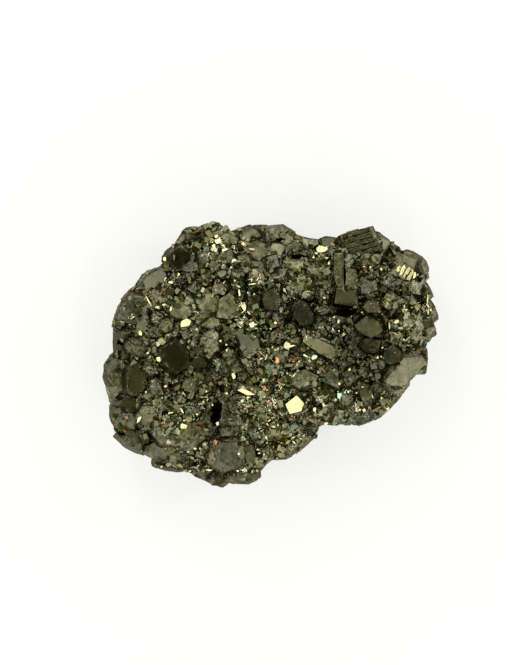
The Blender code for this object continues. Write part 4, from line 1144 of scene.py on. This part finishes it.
class PYRITE_OT_valley_grains(bpy.types.Operator):
    """Grow grains along the valleys between the large crystals"""

    bl_idname = "pyrite.valley_grains"
    bl_label = "Valley grains"

    def execute(self, context):
        settings = context.scene.pyrite_grains
        rng = np.random.default_rng(settings.seed)
        tree, valleys, _corners, _normals, _clean = rough_surface()
        places, normals = [], []
        for start, end, normal in valleys:
            middle = (start + end) / 2
            spacing = settings.spacing * (1.0 if middle.z > HIGH_VALLEYS * MM else 4.0)
            count = rng.poisson((end - start).length / spacing)
            for share in rng.random(count):
                place = start.lerp(end, share)
                drift = Vector(rng.normal(0.0, 0.22 * MM, 3))
                place += drift - normal * drift.dot(normal)
                places.append(place)
                normals.append(normal)
        kept = thin_out(tree, places, rng, leniency=2.0)
        places, normals = np.array(places)[kept], np.array(normals)[kept]
        sizes = grain_sizes(rng, len(places), settings.smallest, settings.largest * 0.7, 1.2)
        shares = open_shares(tree, places, normals)
        obj = grow_grains("valley_grains", places, normals, sizes, shares, settings.seed)
        dress(obj, grain_material())
        return {"FINISHED"}


def patch_density(x, y):
    """Grains a square millimetre that the patches ask for at a place, in millimetres."""
    return sum(
        density * math.exp(-((x - cx) ** 2 + (y - cy) ** 2) / reach**2 * 1.4)
        for cx, cy, reach, density in GRAIN_PATCHES
    )


class PYRITE_OT_patch_grains(bpy.types.Operator):
    """Grow the glittering patches of grains on the top"""

    bl_idname = "pyrite.patch_grains"
    bl_label = "Grain patches"

    def execute(self, context):
        settings = context.scene.pyrite_grains
        rng = np.random.default_rng(settings.seed + 1)
        tree, _valleys, corners, normals, clean = rough_surface()
        middles = corners.mean(axis=1) / MM
        density = np.array([patch_density(x, y) for x, y, _z in middles])
        up = normals[:, 2] > 0.25
        density = density * up * (middles[:, 2] > TOP_BEGINS) * np.where(clean > 0, 0.04, 1.0)
        places, owners = sample_triangles(corners, density / MM**2, rng)
        kept = thin_out(tree, places, rng)
        places, owners = places[kept], owners[kept]
        sizes = grain_sizes(rng, len(places), settings.smallest, settings.largest, 1.0)
        shares = open_shares(tree, places, normals[owners])
        obj = grow_grains("patch_grains", places, normals[owners], sizes, shares, settings.seed + 1)
        dress(obj, grain_material())
        return {"FINISHED"}


class PYRITE_OT_scattered_grains(bpy.types.Operator):
    """Scatter single grains over the rough parts of the whole specimen"""

    bl_idname = "pyrite.scattered_grains"
    bl_label = "Scattered grains"

    def execute(self, context):
        settings = context.scene.pyrite_grains
        rng = np.random.default_rng(settings.seed + 2)
        tree, _valleys, corners, normals, clean = rough_surface()
        middles = corners.mean(axis=1) / MM
        on_top = (middles[:, 2] > 15.5) & (normals[:, 2] > 0.2)
        density = settings.scatter * np.where(on_top, 1.0, 0.16) * (middles[:, 2] > 0.6)
        density = density * np.where(clean > 0, 0.03, 1.0)
        places, owners = sample_triangles(corners, density / MM**2, rng)
        kept = thin_out(tree, places, rng)
        places, owners = places[kept], owners[kept]
        sizes = grain_sizes(rng, len(places), settings.smallest, settings.largest * 0.8, 1.4)
        shares = open_shares(tree, places, normals[owners])
        obj = grow_grains("scattered_grains", places, normals[owners], sizes, shares, settings.seed + 2)
        dress(obj, grain_material())
        return {"FINISHED"}


def spray_rows(rng):
    """Places, sizes, spins, lamps and tints of the tiny crystals in the sprays, in clusters."""
    rows = []
    for x, y, half_width, half_height, count in SPRAYS:
        clusters = [
            (x + half_width * rng.gauss(0, 0.55), y + half_height * rng.gauss(0, 0.55))
            for _cluster in range(max(2, count // 8))
        ]
        for _grain in range(round(1.5 * count)):
            if rng.random() < 0.7:
                middle = rng.choice(clusters)
                place = (middle[0] + rng.gauss(0, 0.42), middle[1] + rng.gauss(0, 0.42))
            else:
                place = (x + half_width * rng.gauss(0, 0.6), y + half_height * rng.gauss(0, 0.6))
            width = 0.13 + 0.3 * rng.random() ** 2
            rows.append((
                *place, width, width * rng.uniform(1.2, 4.6), rng.uniform(0, 180),
                rng.randrange(len(LAMPS)), rng.random(),
            ))
    return rows


def lamp_seen(tree, place, lamp):
    """The lamp itself, or the next one that the stone doesn't hide from the place."""
    for step in range(len(LAMPS)):
        number = (lamp + step) % len(LAMPS)
        if tree.ray_cast(place, direction(*LAMPS[number][:2]))[0] is None:
            return number
    return lamp


def add_flashes(joined, layers, tree, bare, rows, rng, wander):
    """Adds crystals whose flat faces look half way between straight up and a lamp."""
    facet, tint, shade, patina_and_shading = layers
    for x, y, width, length, spin, lamp, hue in rows:
        ground, normal, number = tree.ray_cast(Vector((x * MM, y * MM, 0.1)), Vector((0, 0, -1)))[:3]
        if ground is None or ground.z < 5 * MM or bare[number]:
            continue
        slope, turn = LAMPS[lamp_seen(tree, ground + Vector((0, 0, 0.5 * MM)), lamp)][:2]
        aim = direction(slope / 2 + rng.gauss(0, wander), turn + 2 * rng.gauss(0, wander))
        stand_out = normal.angle(aim) * 0.15 * (width + length) + 0.28 + 0.1 * min(2.0, width + length)
        stand = Matrix.Translation(ground + Vector((0, 0, stand_out * MM)))
        turned = Vector((0, 0, 1)).rotation_difference(aim).to_matrix().to_4x4()
        spun = Matrix.Rotation(math.radians(spin), 4, "Z")
        crystal = flash_crystal(width * MM, length * MM, rng)
        crystal.transform(stand @ turned @ spun)
        past = max(vert.co.z for vert in crystal.verts) - CAD_BOX[1][2] + 0.02 * MM
        bmesh.ops.translate(crystal, vec=(0, 0, min(0, -past)), verts=crystal.verts)
        copies = {vert: joined.verts.new(vert.co) for vert in crystal.verts}
        for face in crystal.faces:
            copy = joined.faces.new([copies[vert] for vert in face.verts])
            copy[facet] = rng.random() * 0.4
            copy[tint] = hue
            # Flashing crystals get no painted crevice shade and no patches of painted shade.
            copy[shade] = 1.0
            copy[patina_and_shading] = 1.0
        crystal.free()


class PYRITE_OT_flashes(bpy.types.Operator):
    """Grow the small crystals whose faces catch a lamp"""

    bl_idname = "pyrite.flashes"
    bl_label = "Flashing crystals"

    def execute(self, context):
        rng = random.Random(context.scene.pyrite_grains.seed + 3)
        bm = facet_surface()
        tree = BVHTree.FromBMesh(bm)
        clean = clean_flags(bm)
        anywhere = [0.0] * len(clean)
        bm.free()
        joined = bmesh.new()
        layers = [joined.faces.layers.float.new(name) for name in ("facet", "tint", "open", "patina_and_shading")]
        placed = [
            (*row[:2], PLACED_SCALE * row[2], PLACED_SCALE * row[3], *row[4:6], TINTS[row[6]])
            for row in FLASHES
        ]
        add_flashes(joined, layers, tree, anywhere, placed, rng, 0.6)
        add_flashes(joined, layers, tree, clean, spray_rows(rng), rng, 3.0)
        mesh = bpy.data.meshes.new("flashing_crystals")
        joined.to_mesh(mesh)
        joined.free()
        keep_in_box(mesh)
        obj = bpy.data.objects.new("flashing_crystals", mesh)
        context.scene.collection.objects.link(obj)
        dress(obj, grain_material())
        return {"FINISHED"}


# Studio


def direction(slope, turn):
    """Unit vector at an angle from straight up and a compass angle, in degrees."""
    slope, turn = math.radians(slope), math.radians(turn)
    return Vector((math.sin(slope) * math.cos(turn), math.sin(slope) * math.sin(turn), math.cos(slope)))


def add_lamp(name, slope, turn, width, radiance, distance=0.6):
    """A round softbox that points at the specimen."""
    data = bpy.data.lights.new(name, "AREA")
    data.shape = "DISK"
    data.size = width
    data.energy = radiance * math.pi * math.pi * (width / 2) ** 2
    lamp = bpy.data.objects.new(name, data)
    aim = direction(slope, turn)
    lamp.location = aim * distance
    lamp.rotation_euler = aim.to_track_quat("Z", "Y").to_euler()
    bpy.context.scene.collection.objects.link(lamp)


def set_sky():
    """A room that is dark straight overhead and soft and pale towards the horizon."""
    world = bpy.data.worlds.new("studio_room")
    bpy.context.scene.world = world
    world.use_nodes = True
    tree = world.node_tree
    place = tree.nodes.new("ShaderNodeTexCoord").outputs["Generated"]
    parts = tree.nodes.new("ShaderNodeSeparateXYZ")
    tree.links.new(place, parts.inputs["Vector"])
    ramp = tree.nodes.new("ShaderNodeValToRGB")
    tree.links.new(parts.outputs["Z"], ramp.inputs["Fac"])
    elements = ramp.color_ramp.elements
    elements[0].position, elements[0].color = 0.0, (0.66, 0.66, 0.66, 1)
    elements[1].position, elements[1].color = 1.0, (0.072, 0.072, 0.03, 1)
    levels = ((0.25, 0.64, 0.95), (0.6, 0.57, 0.88), (0.82, 0.43, 0.75), (0.95, 0.195, 0.56))
    for position, level, blue in levels:
        elements.new(position).color = (level, level, level * blue, 1)
    tree.links.new(ramp.outputs["Color"], tree.nodes["Background"].inputs["Color"])


class PYRITE_OT_stage(bpy.types.Operator):
    """Set the specimen on a plain pale floor, with lamps and a camera straight above"""

    bl_idname = "pyrite.stage"
    bl_label = "Studio"

    def execute(self, context):
        studio = context.scene.pyrite_studio
        mesh = bpy.data.meshes.new("floor")
        bm = bmesh.new()
        bmesh.ops.create_grid(bm, x_segments=1, y_segments=1, size=2.5)
        bm.to_mesh(mesh)
        bm.free()
        floor = bpy.data.objects.new("floor", mesh)
        context.scene.collection.objects.link(floor)
        mesh.materials.append(lit_paper("floor_paper", studio.floor, studio.glow))
        for index, (slope, turn, width, strength) in enumerate(LAMPS):
            add_lamp(f"lamp_{index}", slope, turn, width, studio.lamp_power * strength)
        set_sky()
        data = bpy.data.cameras.new("camera")
        data.sensor_width = 36.0
        data.lens = data.sensor_width * studio.camera_height / studio.field
        data.clip_start = 0.05
        data.clip_end = 10.0
        camera = bpy.data.objects.new("camera", data)
        waist = 0.013
        camera.location = Vector(studio.offset) + Vector((0, 0, waist + studio.camera_height))
        context.scene.collection.objects.link(camera)
        context.scene.camera = camera
        context.scene.view_settings.view_transform = "Standard"
        return {"FINISHED"}


class PYRITE_PT_panel(bpy.types.Panel):
    """Everything that makes up the dressed specimen, in the order it is made"""

    bl_label = "Pyrite cluster"
    bl_idname = "PYRITE_PT_panel"
    bl_space_type = "VIEW_3D"
    bl_region_type = "UI"
    bl_category = "Pyrite"

    def draw(self, context):
        column = self.layout.column()
        for operator in OPERATORS:
            column.operator(operator.bl_idname)


SETTINGS = {
    "pyrite_faces": FaceSettings,
    "pyrite_grains": GrainSettings,
    "pyrite_finish": FinishSettings,
    "pyrite_studio": StudioSettings,
}
OPERATORS = [
    PYRITE_OT_faces, PYRITE_OT_valley_grains, PYRITE_OT_patch_grains, PYRITE_OT_scattered_grains,
    PYRITE_OT_flashes, PYRITE_OT_stage,
]


def register():
    for cls in (*SETTINGS.values(), *OPERATORS, PYRITE_PT_panel):
        bpy.utils.register_class(cls)
    for name, cls in SETTINGS.items():
        setattr(bpy.types.Scene, name, PointerProperty(type=cls))


def unregister():
    for name in SETTINGS:
        delattr(bpy.types.Scene, name)
    for cls in (PYRITE_PT_panel, *reversed(OPERATORS), *reversed(SETTINGS.values())):
        bpy.utils.unregister_class(cls)


def main():
    register()
    for operator in OPERATORS:
        group, name = operator.bl_idname.split(".")
        getattr(getattr(bpy.ops, group), name)()


if __name__ == "__main__":
    main()
